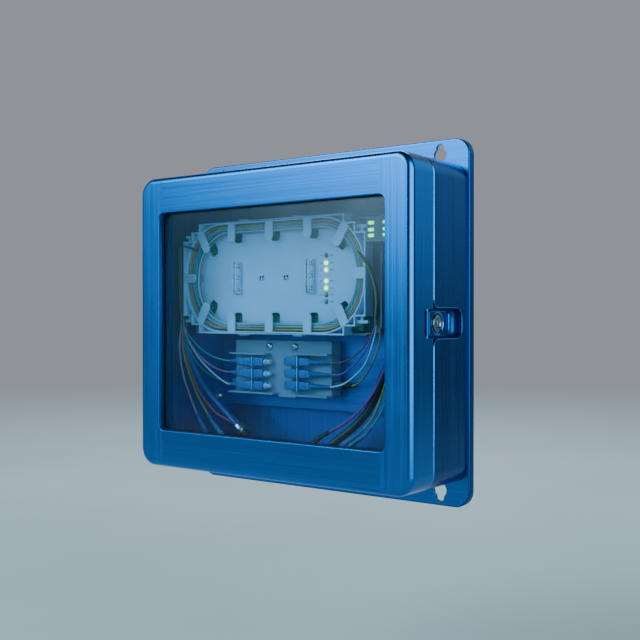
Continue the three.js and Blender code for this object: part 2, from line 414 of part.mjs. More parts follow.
// ---------------------------------------------------------------- leads
{
  // left pigtails: one dressed bundle down the tray's left side, then a fan across to the plugs
  const trunk = lead([[-139.0, -50, 72], [-141.0, -50.2, 58], [-141.6, -50.5, 41], [-141, -50.8, 21], [-138.6, -51, 2], [-136.6, -51, -6]], 2.2, 8, 14);
  const s0 = [-138.4, -51, 1], s1 = [-136.9, -51, -5];
  const a = [
    [s0, s1, [-127.3, -48.4, -18.1], [-115.6, -45.8, -28], [-103.9, -42.6, -34], [-91.3, -38.4, -36.9], [-87.5, -38.1, -36.9]],
    [s0, s1, [-134.0, -51.6, -11.8], [-126.3, -49.4, -24.4], [-115.1, -46.4, -36.3], [-103.7, -42.8, -43.9], [-91.3, -38.4, -47.8], [-87.5, -38.1, -47.8]],
    [s0, s1, [-134.6, -49.6, -14.8], [-126.1, -46.8, -30.4], [-113.2, -44.6, -43.4], [-101.6, -41.6, -52.5], [-91.3, -38.4, -58.9], [-87.5, -38.1, -58.9]]];
  put("pigtails_left", add(trunk, ...a.map(p => lead(p, 0.9, 6, 16))), 0x4bb7a4, 0.5, 0);
  const trunk2 = lead([[-142.8, -44.6, 60], [-143.6, -44.8, 20], [-143.6, -45, -4], [-143.2, -45, -14]], 2.4, 8, 8);
  const u0 = [-143.6, -45, -4], u1 = [-143.3, -45, -12];
  const b = [
    [u0, u1, [-143.2, -45.6, -26], [-139.8, -46, -50.8], [-133.2, -46, -68], [-122, -46, -90], [-110.5, -46, -106]],
    [u0, u1, [-139.6, -45.2, -28.9], [-131.4, -45.2, -49.6], [-121, -45.6, -70], [-105, -46, -90], [-92.3, -46, -106]]];
  put("riser_leads_left", add(trunk2, ...b.map(p => lead(p, 1.3, 6, 14))), 0xc04a3c, 0.5, 0);
}
{
  const trunk = lead([[82.2, -50.5, 55], [86.0, -50.8, 36], [88.9, -51, 18.1], [87.6, -50, 5], [85.2, -48.6, -3]], 2.2, 8, 12);
  const s0 = [87.2, -49.8, 3], s1 = [85.4, -48.7, -2.4];
  const a = [
    [s0, s1, [75.1, -44.8, -14.5], [64.8, -41.8, -24.6], [52.5, -39.8, -31.3], [41.7, -38.1, -35], [31.8, -38.1, -35.6]],
    [s0, s1, [76.5, -45.4, -17.6], [66.5, -42.4, -29.0], [54.4, -39.8, -38.5], [42.7, -38.1, -45], [31.8, -38.1, -46.4]],
    [s0, s1, [78.6, -44.4, -20.7], [68.7, -41.2, -36.5], [56.2, -39.2, -47], [43.7, -38.1, -54.1], [31.8, -38.1, -57.2]]];
  put("pigtails_right", add(trunk, ...a.map(p => lead(p, 0.9, 6, 16))), 0xb98acb, 0.5, 0);
  const trunk2 = lead([[104, -33, 40], [101, -33, 0], [95, -33, -20], [92, -33, -26]], 2.6, 8, 8);
  const u0 = [95.5, -33, -19], u1 = [92.8, -33, -24.4];
  const b = [
    [u0, u1, [82.3, -34, -43.3], [77.9, -35, -52.6], [69.4, -36.5, -68], [54, -39, -82], [36, -42, -93], [23.4, -45.6, -104.6]],
    [u0, u1, [89, -34.6, -42], [83.1, -36, -66], [75, -39, -82], [65, -43, -95], [56.4, -45.6, -104.6]]];
  put("riser_leads_right", add(trunk2, ...b.map(p => lead(p, 1.5, 6, 14))), 0x8e3a86, 0.5, 0);
}
// lower plugs on the ends of the riser leads
{
  const lp = [["lower_plug_1", [-110.8, -46, -105.6], PORTS[0][0]], ["lower_plug_2", [-92.8, -46, -105.6], PORTS[1][0]],
    ["lower_plug_3", [23.6, -46, -104.2], PORTS[2][0]], ["lower_plug_4", [56.6, -46, -104.2], PORTS[3][0]]];
  lp.forEach(([n, end, px], i) => {
    const from = new THREE.Vector3(px, PORT_Y, -117.2), to = new THREE.Vector3(...end);
    const dir = to.clone().sub(from), L = dir.length() - 2.2;
    const big = i < 2 ? 3.4 : 4.2;
    let p = add(turned([[0, 0], [big, 0], [1.9, L], [0, L]], [from.x, from.y, from.z], dir.toArray(), 12),
      box(px - 4, px + 4, PORT_Y - 4, PORT_Y + 4, -123.6, -116.4));
    put(n, p, i < 2 ? SC : 0x1c2026, 0.45, 0);
  });
}
// port blocks through the housing floor
for (const [n, x0, x1, ids] of [["left", -118, -70, [0, 1]], ["right", 2, 60, [2, 3]]]) {
  let b = box(x0, x1, PORT_Y - 9, PORT_Y + 9, -134.3, -118);
  b = add(b, box(x0 - 3, x1 + 3, PORT_Y - 12, PORT_Y + 12, -131.0, -128.5));
  for (const i of ids) b = cut(b, box(PORTS[i][0] - 4.2, PORTS[i][0] + 4.2, PORT_Y - 4.2, PORT_Y + 4.2, -124, -117),
    box(PORTS[i][0] - 4.6, PORTS[i][0] + 4.6, PORT_Y - 4.2, PORT_Y + 4.2, -136, -126.2));
  put(`port_block_${n}`, b, 0x24292f, 0.6, 0);
}

export default group;
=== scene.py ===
import math
import random

import bpy
import bmesh
from mathutils import Matrix, Vector


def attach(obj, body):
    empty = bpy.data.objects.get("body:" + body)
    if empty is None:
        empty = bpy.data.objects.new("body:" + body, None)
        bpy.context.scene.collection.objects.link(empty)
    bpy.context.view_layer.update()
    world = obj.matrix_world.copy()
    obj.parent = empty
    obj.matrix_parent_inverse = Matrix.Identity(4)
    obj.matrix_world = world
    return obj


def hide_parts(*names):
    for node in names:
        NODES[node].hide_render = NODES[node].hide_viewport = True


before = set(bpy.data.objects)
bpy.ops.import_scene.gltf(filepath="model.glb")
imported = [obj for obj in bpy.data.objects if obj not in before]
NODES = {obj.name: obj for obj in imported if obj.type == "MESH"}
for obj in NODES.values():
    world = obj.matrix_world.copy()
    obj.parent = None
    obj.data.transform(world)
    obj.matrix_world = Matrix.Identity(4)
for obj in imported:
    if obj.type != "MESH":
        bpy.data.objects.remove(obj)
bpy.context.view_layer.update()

MM = 0.001

# ------------------------------------------------------------------ dimensions (mm), as in the CAD source
HW, HH, RC, WALL = 150.0, 134.3, 16.0, 3.0
Y_FRONT, Y_DOOR_BACK, Y_SEAM, Y_TUB_BACK = -96.0, -63.4, -62.6, -8.3
PLATE_HW, PLATE_HH, PLATE_R, PLATE_T = 152.1, 155.4, 14.5, 8.0
WIN = (-125.0, 125.0, -100.4, 101.2)
FIL = 5.5
LEV_X, LEV_Y, LOCK_Y = 147.0, -69.0, -56.5
TRAY_Y, TRAY_FLOOR = -54.0, -44.0
ROWS_L = (-36.9, -47.8, -58.9)
ROWS_R = (-35.6, -46.4, -57.2)
LED_X, LED_Z, BUTTON_Z = 30.5, (52.4, 46.3, 36.5, 30.3, 24.3, 18.3), 58.9
PORT_X, PORT_Y = (-106.0, -82.0, 14.0, 48.0), -46.0
HINGE_X, HINGE_Y, HINGE_Z = -156.0, -63.0, (78.0, -78.0)


# ------------------------------------------------------------------ mesh helpers
def obj_from(name, verts, faces, mats, smooth=32.0, fmat=None):
    me = bpy.data.meshes.new(name)
    me.from_pydata([tuple(c * MM for c in v) for v in verts], [], faces)
    me.validate(clean_customdata=False)
    ob = bpy.data.objects.new(name, me)
    bpy.context.scene.collection.objects.link(ob)
    for m in mats if isinstance(mats, (list, tuple)) else [mats]:
        me.materials.append(m)
    if fmat:
        for p, k in zip(me.polygons, fmat):
            p.material_index = k
    tidy(ob, smooth)
    return ob


def tidy(ob, smooth=32.0):
    me = ob.data
    bm = bmesh.new()
    bm.from_mesh(me)
    bmesh.ops.remove_doubles(bm, verts=bm.verts, dist=1e-7)
    bmesh.ops.recalc_face_normals(bm, faces=bm.faces)
    bm.to_mesh(me)
    bm.free()
    for p in me.polygons:
        p.use_smooth = True
    me.set_sharp_from_angle(angle=math.radians(smooth))


def soften(ob, width, segments=2, angle=40.0, weighted=True):
    """Rounds the edges of a piece and keeps its flats flat."""
    if width:
        b = ob.modifiers.new("edge", "BEVEL")
        b.width = width * MM
        b.segments = segments
        b.limit_method = "ANGLE"
        b.angle_limit = math.radians(angle)
        b.use_clamp_overlap = True
        b.harden_normals = False
    if weighted:
        w = ob.modifiers.new("normals", "WEIGHTED_NORMAL")
        w.keep_sharp = True
        w.weight = 80
    return ob


def bake_mods(ob, smooth=32.0):
    """Applies the modifiers to the piece's own mesh."""
    dg = bpy.context.evaluated_depsgraph_get()
    dg.update()
    me = bpy.data.meshes.new_from_object(ob.evaluated_get(dg), preserve_all_data_layers=True, depsgraph=dg)
    old = ob.data
    ob.modifiers.clear()
    ob.data = me
    me.name = ob.name
    bpy.data.meshes.remove(old)
    for p in me.polygons:
        p.use_smooth = True
    me.set_sharp_from_angle(angle=math.radians(smooth))
    return ob


def carve(ob, cutters, op="DIFFERENCE", smooth=32.0):
    for c in cutters:
        m = ob.modifiers.new("b", "BOOLEAN")
        m.operation = op
        m.object = c
        m.solver = "EXACT"
        m.use_self = False
    bpy.context.view_layer.update()
    bake_mods(ob, smooth)
    for c in cutters:
        me = c.data
        bpy.data.objects.remove(c, do_unlink=True)
        bpy.data.meshes.remove(me)
    return ob


def rr(x0, x1, z0, z1, r, n=8):
    out = []
    for cx, cz, q in ((x1 - r, z1 - r, 0), (x0 + r, z1 - r, 1), (x0 + r, z0 + r, 2), (x1 - r, z0 + r, 3)):
        for i in range(n + 1):
            a = (q + i / n) * math.pi / 2
            out.append((cx + r * math.cos(a), cz + r * math.sin(a)))
    return out


def circ(cx, cy, r, n=32, a0=0.0):
    return [(cx + r * math.cos(a0 + i / n * 2 * math.pi), cy + r * math.sin(a0 + i / n * 2 * math.pi)) for i in range(n)]


PLACE = {
    "Y": lambda u, v, w: (u, w, v),
    "X": lambda u, v, w: (w, u, v),
    "Z": lambda u, v, w: (u, v, w),
}


def loft(name, rings, axis, mats, loop=False, caps=(True, True), smooth=32.0, ring_mat=None):
    """rings: list of (points, station). loop joins the last ring to the first."""
    pl = PLACE[axis]
    n = len(rings[0][0])
    verts, faces, fm = [], [], []
    for pts, w in rings:
        verts += [pl(u, v, w) for u, v in pts]
    m = len(rings)
    for k in range(m if loop else m - 1):
        for i in range(n):
            a, b = k * n + i, k * n + (i + 1) % n
            c, d = ((k + 1) % m) * n + i, ((k + 1) % m) * n + (i + 1) % n
            faces.append((a, b, d, c))
            fm.append(ring_mat[k] if ring_mat else 0)
    if not loop:
        if caps[0]:
            faces.append(tuple(range(n)))
            fm.append(ring_mat[0] if ring_mat else 0)
        if caps[1]:
            faces.append(tuple(range((m - 1) * n, m * n)))
            fm.append(ring_mat[-1] if ring_mat else 0)
    return obj_from(name, verts, faces, mats, smooth, fm)


def slab(name, pts, w0, w1, axis, mats, r=0.0, n=3, smooth=32.0):
    """Extruded outline with optional rounded rims, the outline shrinking by r at both ends."""
    if not r:
        return loft(name, [(pts, w0), (pts, w1)], axis, mats, smooth=smooth)
    cx = sum(p[0] for p in pts) / len(pts)
    cy = sum(p[1] for p in pts) / len(pts)

    def inset(d):
        m = len(pts)
        out = []
        area = sum(pts[i][0] * pts[(i + 1) % m][1] - pts[(i + 1) % m][0] * pts[i][1] for i in range(m))
        s = 1 if area > 0 else -1
        for i in range(m):
            a, b, c = pts[i - 1], pts[i], pts[(i + 1) % m]
            e1 = Vector((b[0] - a[0], b[1] - a[1]))
            e2 = Vector((c[0] - b[0], c[1] - b[1]))
            if e1.length < 1e-9 or e2.length < 1e-9:
                out.append(b)
                continue
            e1.normalize()
            e2.normalize()
            n1, n2 = Vector((-e1.y, e1.x)) * s, Vector((-e2.y, e2.x)) * s
            k = n1 + n2
            if k.length < 1e-6:
                out.append(b)
                continue
            k.normalize()
            f = d / max(0.35, k.dot(n1))
            out.append((b[0] + k.x * f, b[1] + k.y * f))
        return out

    rings = []
    for i in range(n + 1):
        a = i / n * math.pi / 2
        rings.append((inset(r * (1 - math.sin(a))), w0 + r * (1 - math.cos(a))))
    for i in range(n + 1):
        a = i / n * math.pi / 2
        rings.append((inset(r * (1 - math.cos(a))), w1 - r * (1 - math.sin(a))))
    return loft(name, rings, axis, mats, smooth=smooth)


def box(name, x0, x1, y0, y1, z0, z1, mats, bevel=0.0, segments=2):
    v = [(x, y, z) for x in (x0, x1) for y in (y0, y1) for z in (z0, z1)]
    f = [(0, 1, 3, 2), (4, 6, 7, 5), (0, 4, 5, 1), (2, 3, 7, 6), (0, 2, 6, 4), (1, 5, 7, 3)]
    ob = obj_from(name, v, f, mats, 30)
    if bevel:
        b = ob.modifiers.new("b", "BEVEL")
        b.width = bevel * MM
        b.segments = segments
        b.limit_method = "ANGLE"
        bpy.context.view_layer.update()
        bake_mods(ob, 50)
    return ob


def turned(name, profile, origin, direction, mats, n=32, smooth=35.0, pmat=None):
    """Body of revolution. profile: (radius, station) from axis to axis."""
    d = Vector(direction).normalized()
    q = Vector((0, 0, 1)).rotation_difference(d)
    o = Vector(origin)
    verts, faces, fm, idx = [], [], [], []
    for r, s in profile:
        if r < 1e-6:
            verts.append(tuple(o + q @ Vector((0, 0, s))))
            idx.append([len(verts) - 1] * n)
        else:
            row = []
            for i in range(n):
                a = i / n * 2 * math.pi
                verts.append(tuple(o + q @ Vector((r * math.cos(a), r * math.sin(a), s))))
                row.append(len(verts) - 1)
            idx.append(row)
    for k in range(len(idx) - 1):
        for i in range(n):
            a, b, c, e = idx[k][i], idx[k][(i + 1) % n], idx[k + 1][(i + 1) % n], idx[k + 1][i]
            f = []
            for t in (a, b, c, e):
                if t not in f:
                    f.append(t)
            if len(f) > 2:
                faces.append(tuple(f))
                fm.append(pmat[k] if pmat else 0)
    return obj_from(name, verts, faces, mats, smooth, fm)


def catmull(points, per=8):
    p = [Vector(q) for q in points]
    p = [p[0] * 2 - p[1]] + p + [p[-1] * 2 - p[-2]]
    out = []
    for i in range(1, len(p) - 2):
        p0, p1, p2, p3 = p[i - 1 : i + 3]
        t0 = 0.0
        t1 = t0 + max(1e-4, (p1 - p0).length) ** 0.5
        t2 = t1 + max(1e-4, (p2 - p1).length) ** 0.5
        t3 = t2 + max(1e-4, (p3 - p2).length) ** 0.5
        for k in range(per):
            t = t1 + (t2 - t1) * k / per
            a1 = p0 * ((t1 - t) / (t1 - t0)) + p1 * ((t - t0) / (t1 - t0))
            a2 = p1 * ((t2 - t) / (t2 - t1)) + p2 * ((t - t1) / (t2 - t1))
            a3 = p2 * ((t3 - t) / (t3 - t2)) + p3 * ((t - t2) / (t3 - t2))
            b1 = a1 * ((t2 - t) / (t2 - t0)) + a2 * ((t - t0) / (t2 - t0))
            b2 = a2 * ((t3 - t) / (t3 - t1)) + a3 * ((t - t1) / (t3 - t1))
            out.append(b1 * ((t2 - t) / (t2 - t1)) + b2 * ((t - t1) / (t2 - t1)))
    out.append(p[-2])
    return out


def tube(name, points, r, mats, sides=10, per=8, closed=False, radii=None, smooth_path=True):
    """Round strand along a smooth path; radii may vary along it."""
    path = catmull(points, per) if smooth_path else [Vector(q) for q in points]
    m = len(path)
    verts, faces = [], []
    t_prev, nrm = None, None
    for i in range(m):
        if closed:
            t = (path[(i + 1) % m] - path[i - 1]).normalized()
        else:
            t = (path[min(i + 1, m - 1)] - path[max(i - 1, 0)]).normalized()
        if nrm is None:
            ref = Vector((0, 1, 0)) if abs(t.y) < 0.9 else Vector((1, 0, 0))
            nrm = (ref - t * ref.dot(t)).normalized()
        else:
            nrm = (nrm - t * nrm.dot(t)).normalized()
        b = t.cross(nrm)
        rad = radii(i / (m - 1)) if radii else r
        for k in range(sides):
            a = k / sides * 2 * math.pi
            verts.append(tuple(path[i] + (nrm * math.cos(a) + b * math.sin(a)) * rad))
    for i in range(m if closed else m - 1):
        for k in range(sides):
            a, b2 = i * sides + k, i * sides + (k + 1) % sides
            c, d = ((i + 1) % m) * sides + (k + 1) % sides, ((i + 1) % m) * sides + k
            faces.append((a, b2, c, d))
    if not closed:
        faces.append(tuple(range(sides)))
        faces.append(tuple(range((m - 1) * sides, m * sides)))
    return obj_from(name, verts, faces, mats, 60)


def join(name, obs):
    """Several solids of one physical piece kept as one object."""
    base = obs[0]
    bms = bmesh.new()
    mats = []
    for o in obs:
        for m in o.data.materials:
            if m not in mats:
                mats.append(m)
    for o in obs:
        me = o.data.copy()
        remap = [mats.index(m) for m in o.data.materials]
        for p in me.polygons:
            p.material_index = remap[p.material_index] if remap else 0
        me.update()
        bms.from_mesh(me)
        bpy.data.meshes.remove(me)
    me = bpy.data.meshes.new(name)
    bms.to_mesh(me)
    bms.free()
    for m in mats:
        me.materials.append(m)
    for o in obs[1:]:
        old = o.data
        bpy.data.objects.remove(o, do_unlink=True)
        bpy.data.meshes.remove(old)
    old = base.data
    base.data = me
    bpy.data.meshes.remove(old)
    base.name = name
    me.name = name
    return base


def add(ob, body, replaces=(), slot=None):
    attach(ob, body)
    if replaces:
        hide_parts(*replaces)
    return ob


# ------------------------------------------------------------------ materials
class N:
    def __init__(self, name):
        self.m = bpy.data.materials.new(name)
        self.m.use_nodes = True
        self.t = self.m.node_tree
        self.t.nodes.clear()
        self.out = self.t.nodes.new("ShaderNodeOutputMaterial")

    def n(self, kind, **kw):
        x = self.t.nodes.new("ShaderNode" + kind)
        for k, v in kw.items():
            if k in x.inputs:
                x.inputs[k].default_value = v
            else:
                setattr(x, k, v)
        return x

    def link(self, a, b):
        self.t.links.new(a, b)

    def coord(self):
        return self.n("TexCoord").outputs["Object"]

    def mapped(self, scale, loc=(0, 0, 0), rot=(0, 0, 0), src=None):
        m = self.n("Mapping")
        m.inputs["Scale"].default_value = scale
        m.inputs["Location"].default_value = loc
        m.inputs["Rotation"].default_value = rot
        self.link(src or self.coord(), m.inputs["Vector"])
        return m.outputs["Vector"]

    def noise(self, vec, scale=1.0, detail=3.0, rough=0.5):
        x = self.n("TexNoise")
        x.inputs["Scale"].default_value = scale
        x.inputs["Detail"].default_value = detail
        x.inputs["Roughness"].default_value = rough
        self.link(vec, x.inputs["Vector"])
        return x.outputs["Fac"]

    def ramp(self, fac, a, b, lo=0.0, hi=1.0):
        x = self.n("MapRange")
        x.inputs["From Min"].default_value = lo
        x.inputs["From Max"].default_value = hi
        x.inputs["To Min"].default_value = a
        x.inputs["To Max"].default_value = b
        x.clamp = True
        self.link(fac, x.inputs["Value"])
        return x.outputs["Result"]

    def math(self, op, a, b=None, c=None):
        x = self.n("Math", operation=op)
        for i, v in enumerate((a, b, c)):
            if v is None:
                continue
            if isinstance(v, (int, float)):
                x.inputs[i].default_value = v
            else:
                self.link(v, x.inputs[i])
        return x.outputs[0]

    def mix(self, fac, a, b):
        x = self.n("Mix", data_type="RGBA")
        if isinstance(fac, (int, float)):
            x.inputs[0].default_value = fac
        else:
            self.link(fac, x.inputs[0])
        for sock, v in ((6, a), (7, b)):
            if isinstance(v, (tuple, list)):
                x.inputs[sock].default_value = (*v[:3], 1)
            else:
                self.link(v, x.inputs[sock])
        return x.outputs[2]

    def mixf(self, fac, a, b):
        x = self.n("Mix", data_type="FLOAT")
        if isinstance(fac, (int, float)):
            x.inputs[0].default_value = fac
        else:
            self.link(fac, x.inputs[0])
        for sock, v in ((2, a), (3, b)):
            if isinstance(v, (int, float)):
                x.inputs[sock].default_value = v
            else:
                self.link(v, x.inputs[sock])
        return x.outputs[0]

    def bump(self, height, strength, distance):
        x = self.n("Bump")
        x.inputs["Strength"].default_value = strength
        x.inputs["Distance"].default_value = distance
        self.link(height, x.inputs["Height"])
        return x.outputs["Normal"]

    def shader(self, color, rough, normal=None, **kw):
        p = self.n("BsdfPrincipled")
        for k, v in kw.items():
            p.inputs[k.replace("_", " ")].default_value = v
        if isinstance(color, (tuple, list)):
            p.inputs["Base Color"].default_value = (*color[:3], 1)
        else:
            self.link(color, p.inputs["Base Color"])
        if isinstance(rough, (int, float)):
            p.inputs["Roughness"].default_value = rough
        else:
            self.link(rough, p.inputs["Roughness"])
        if normal is not None:
            self.link(normal, p.inputs["Normal"])
        self.p = p
        self.link(p.outputs[0], self.out.inputs["Surface"])
        return self.m


def brushed_blue(name, mode, base=(0.0012, 0.150, 0.50), light=(0.004, 0.215, 0.62), rough=0.20, coat=0.04, aniso=0.5, lines=1.0):
    """Blue anodised aluminium with brush lines. mode: 'door' (upright on the side bars and walls, level between), 'z' or 'x'."""
    k = N(name)
    co = k.coord()
    up = k.mapped((1900, 1900, 7), src=co)
    up2 = k.mapped((620, 620, 4.5), (3, 1, 7), src=co)
    lv = k.mapped((7, 1900, 1900), (5, 2, 1), src=co)
    lv2 = k.mapped((4.5, 620, 620), (1, 6, 4), src=co)
    fu, fu2 = k.noise(up, 1, 2, 0.5), k.noise(up2, 1, 3, 0.6)
    fl, fl2 = k.noise(lv, 1, 2, 0.5), k.noise(lv2, 1, 3, 0.6)
    if mode == "door":
        sep = k.n("SeparateXYZ")
        k.link(co, sep.inputs[0])
        ax = k.math("ABSOLUTE", sep.outputs[0])
        side = k.math("GREATER_THAN", ax, 0.1203)
        fine, broad = k.mixf(side, fl, fu), k.mixf(side, fl2, fu2)
    elif mode == "z":
        fine, broad, side = fu, fu2, None
    else:
        fine, broad, side = fl, fl2, None
    spread = k.noise(k.mapped((6, 6, 6), (2, 9, 3), src=co), 1, 2, 0.5)
    smudge = k.noise(k.mapped((28, 28, 28), (8, 2, 5), src=co), 1, 4, 0.6)
    streak = k.ramp(k.math("ADD", k.math("MULTIPLY", fine, 0.45), k.math("MULTIPLY", broad, 0.55)), 0, 1, 0.36, 0.64)
    c1 = k.mix(streak, tuple(v * (1 - 0.10 * lines) for v in base), light)
    c2 = k.mix(k.ramp(spread, 0.0, 0.16, 0.35, 0.7), c1, tuple(v * 0.80 for v in base))
    r1 = k.ramp(streak, rough - 0.035 * lines, rough + 0.045 * lines)
    r2 = k.math("ADD", r1, k.ramp(smudge, -0.012, 0.022, 0.35, 0.7))
    nrm = k.bump(k.math("ADD", k.math("MULTIPLY", fine, 0.8), k.math("MULTIPLY", broad, 0.35)), 0.16 * lines, 0.00005)
    k.shader(c2, r2, nrm, Metallic=1.0, Anisotropic=aniso, Coat_Weight=coat, Coat_Roughness=0.25, Coat_IOR=1.5)
    # brush direction: the highlight spreads across the lines
    tz = k.n("CombineXYZ")
    tx = k.n("CombineXYZ")
    tz.inputs[2].default_value = 1.0
    tx.inputs[0].default_value = 1.0
    if mode == "door":
        mv = k.n("Mix", data_type="VECTOR")
        k.link(side, mv.inputs[0])
        k.link(tx.outputs[0], mv.inputs[4])
        k.link(tz.outputs[0], mv.inputs[5])
        tv = mv.outputs[1]
    else:
        tv = (tz if mode == "z" else tx).outputs[0]
    vt = k.n("VectorTransform", vector_type="VECTOR", convert_from="OBJECT", convert_to="WORLD")
    k.link(tv, vt.inputs[0])
    k.link(vt.outputs[0], k.p.inputs["Tangent"])
    return k.m


def metal(name, base, rough=0.3, fine=900, bumps=0.12, coat=0.0, vary=0.25):
    k = N(name)
    co = k.coord()
    a = k.noise(k.mapped((fine, fine, fine), src=co), 1, 3, 0.6)
    b = k.noise(k.mapped((70, 70, 70), (4, 4, 1), src=co), 1, 4, 0.6)
    col = k.mix(k.ramp(b, 0, 1, 0.35, 0.7), base, tuple(v * (1 - vary) for v in base))
    k.shader(col, k.math("ADD", k.ramp(a, rough - 0.06, rough + 0.09, 0.3, 0.7), k.ramp(b, 0, 0.08, 0.4, 0.7)),
             k.bump(a, bumps, 0.00004), Metallic=1.0, Coat_Weight=coat)
    return k.m


def plastic(name, base, rough=0.42, grain=3200, bumps=0.12, spec=0.5, vary=0.10, coat=0.0, sss=0.0, dark=0.85):
    k = N(name)
    co = k.coord()
    g = k.noise(k.mapped((grain, grain, grain), src=co), 1, 2, 0.5)
    flow = k.noise(k.mapped((45, 45, 45), (7, 3, 2), src=co), 1, 4, 0.55)
    dust = k.noise(k.mapped((320, 320, 320), (1, 1, 9), src=co), 1, 4, 0.7)
    col = k.mix(k.ramp(flow, 0, 1, 0.3, 0.7), base, tuple(v * (1 - vary) for v in base))
    col = k.mix(k.ramp(dust, 0.0, 0.22, 0.56, 0.78), col, tuple(v * dark for v in base))
    rr_ = k.math("ADD", k.ramp(flow, rough - 0.05, rough + 0.06, 0.3, 0.7), k.ramp(dust, 0.0, 0.09, 0.5, 0.75))
    kw = {}
    if sss:
        kw = {"Subsurface_Weight": sss, "Subsurface_Scale": 0.002}
    k.shader(col, rr_, k.bump(g, bumps, 0.00003), Specular_IOR_Level=spec, Coat_Weight=coat, **kw)
    return k.m


def rubber(name, base=(0.012, 0.013, 0.015)):
    return plastic(name, base, rough=0.72, grain=1800, bumps=0.3, spec=0.35, vary=0.3)


def pcb(name):
    k = N(name)
    co = k.coord()
    sep = k.n("SeparateXYZ")
    k.link(co, sep.inputs[0])
    br = k.n("TexBrick")
    cv = k.n("CombineXYZ")
    k.link(sep.outputs[0], cv.inputs[0])
    k.link(sep.outputs[2], cv.inputs[1])
    k.link(cv.outputs[0], br.inputs["Vector"])
    br.inputs["Scale"].default_value = 90.0
    br.inputs["Mortar Size"].default_value = 0.055
    br.inputs["Color1"].default_value = (0.0, 0.0, 0.0, 1)
    br.inputs["Color2"].default_value = (0.35, 0.35, 0.35, 1)
    br.inputs["Mortar"].default_value = (1, 1, 1, 1)
    vor = k.n("TexVoronoi", feature="F1")
    vor.inputs["Scale"].default_value = 260.0
    k.link(co, vor.inputs["Vector"])
    pad = k.ramp(vor.outputs["Distance"], 1.0, 0.0, 0.16, 0.22)
    pour = k.noise(k.mapped((60, 60, 60), src=co), 1, 2, 0.5)
    col = k.mix(br.outputs["Fac"], (0.016, 0.26, 0.14), (0.03, 0.38, 0.21))
    col = k.mix(k.ramp(pour, 0, 0.5, 0.45, 0.55), col, (0.012, 0.17, 0.095))
    col = k.mix(k.math("MULTIPLY", pad, 0.7), col, (0.50, 0.43, 0.25))
    k.shader(col, k.ramp(pour, 0.28, 0.42), k.bump(k.math("ADD", br.outputs["Fac"], pad), 0.35, 0.00005), Coat_Weight=0.3)
    return k.m


def lit(name, centres, core, rim, radius, strength, on=True):
    """Diffusing lens: brighter and whiter at each window's centre."""
    k = N(name)
    co = k.coord()
    sep = k.n("SeparateXYZ")
    k.link(co, sep.inputs[0])
    best = None
    for cx, cz in centres:
        dx = k.math("SUBTRACT", sep.outputs[0], cx * MM)
        dz = k.math("SUBTRACT", sep.outputs[2], cz * MM)
        d = k.math("SQRT", k.math("ADD", k.math("MULTIPLY", dx, dx), k.math("MULTIPLY", dz, dz)))
        best = d if best is None else k.math("MINIMUM", best, d)
    f = k.ramp(best, 0, 1, radius * 0.35 * MM, radius * 1.0 * MM)
    g = k.noise(k.mapped((900, 900, 900), src=co), 1, 2, 0.5)
    col = k.mix(f, core, rim)
    k.shader(col, k.ramp(g, 0.25, 0.4), k.bump(g, 0.2, 0.00004), Specular_IOR_Level=0.5, Transmission_Weight=0.0)
    k.link(col, k.p.inputs["Emission Color"])
    k.p.inputs["Emission Strength"].default_value = strength if on else 0.0
    return k.m


def clear_glass(name):
    k = N(name)
    co = k.coord()
    haze = k.noise(k.mapped((9, 9, 9), src=co), 1, 5, 0.6)
    fine = k.noise(k.mapped((700, 700, 700), (3, 3, 3), src=co), 1, 3, 0.6)
    tr = k.n("BsdfTransparent")
    tr.inputs["Color"].default_value = (0.80, 0.93, 1.0, 1)
    gl = k.n("BsdfGlossy")
    gl.inputs["Color"].default_value = (1.0, 0.95, 1.0, 1)
    k.link(k.ramp(haze, 0.03, 0.085, 0.35, 0.7), gl.inputs["Roughness"])
    fr = k.n("LayerWeight")
    fr.inputs["Blend"].default_value = 0.5
    k.link(k.bump(fine, 0.02, 0.00002), fr.inputs["Normal"])
    rise = k.math("MULTIPLY_ADD", k.math("POWER", fr.outputs["Facing"], 5.0), 0.93, 0.036)
    mx = k.n("MixShader")
    k.link(k.math("ADD", rise, k.ramp(haze, 0.0, 0.012, 0.45, 0.7)), mx.inputs[0])
    k.link(tr.outputs[0], mx.inputs[1])
    k.link(gl.outputs[0], mx.inputs[2])
    k.link(mx.outputs[0], k.out.inputs["Surface"])
    return k.m


M_DOOR = brushed_blue("door_brushed_blue", "door")
# darker copy of the door's anodised blue for the housing: painted shade on its sides
M_SHELL = brushed_blue("shell_brushed_blue_painted_shade", "z", base=(0.0005, 0.052, 0.205), light=(0.0014, 0.100, 0.340), rough=0.25, lines=1.3)
M_PLATE = brushed_blue("plate_brushed_blue", "x")
M_CHAS = brushed_blue("chassis_brushed_blue", "x", base=(0.0012, 0.17, 0.52), light=(0.003, 0.23, 0.64), rough=0.38, aniso=0.3, coat=0.0)
# darker, rougher copy of the anodised blue for the inner walls: the rougher finish is matte, the darker tone is painted
# shade of the interior
M_INNER = brushed_blue("inner_blue_painted_shade", "z", base=(0.001, 0.11, 0.36), light=(0.003, 0.16, 0.46), rough=0.44, coat=0.0, aniso=0.2)
# darker copy of the anodised blue on the plate's sides and back: painted shade on them
M_RIM = brushed_blue("plate_rim_blue_painted_shade", "z", base=(0.0005, 0.050, 0.200), light=(0.0012, 0.085, 0.300), rough=0.34, coat=0.0, aniso=0.2)
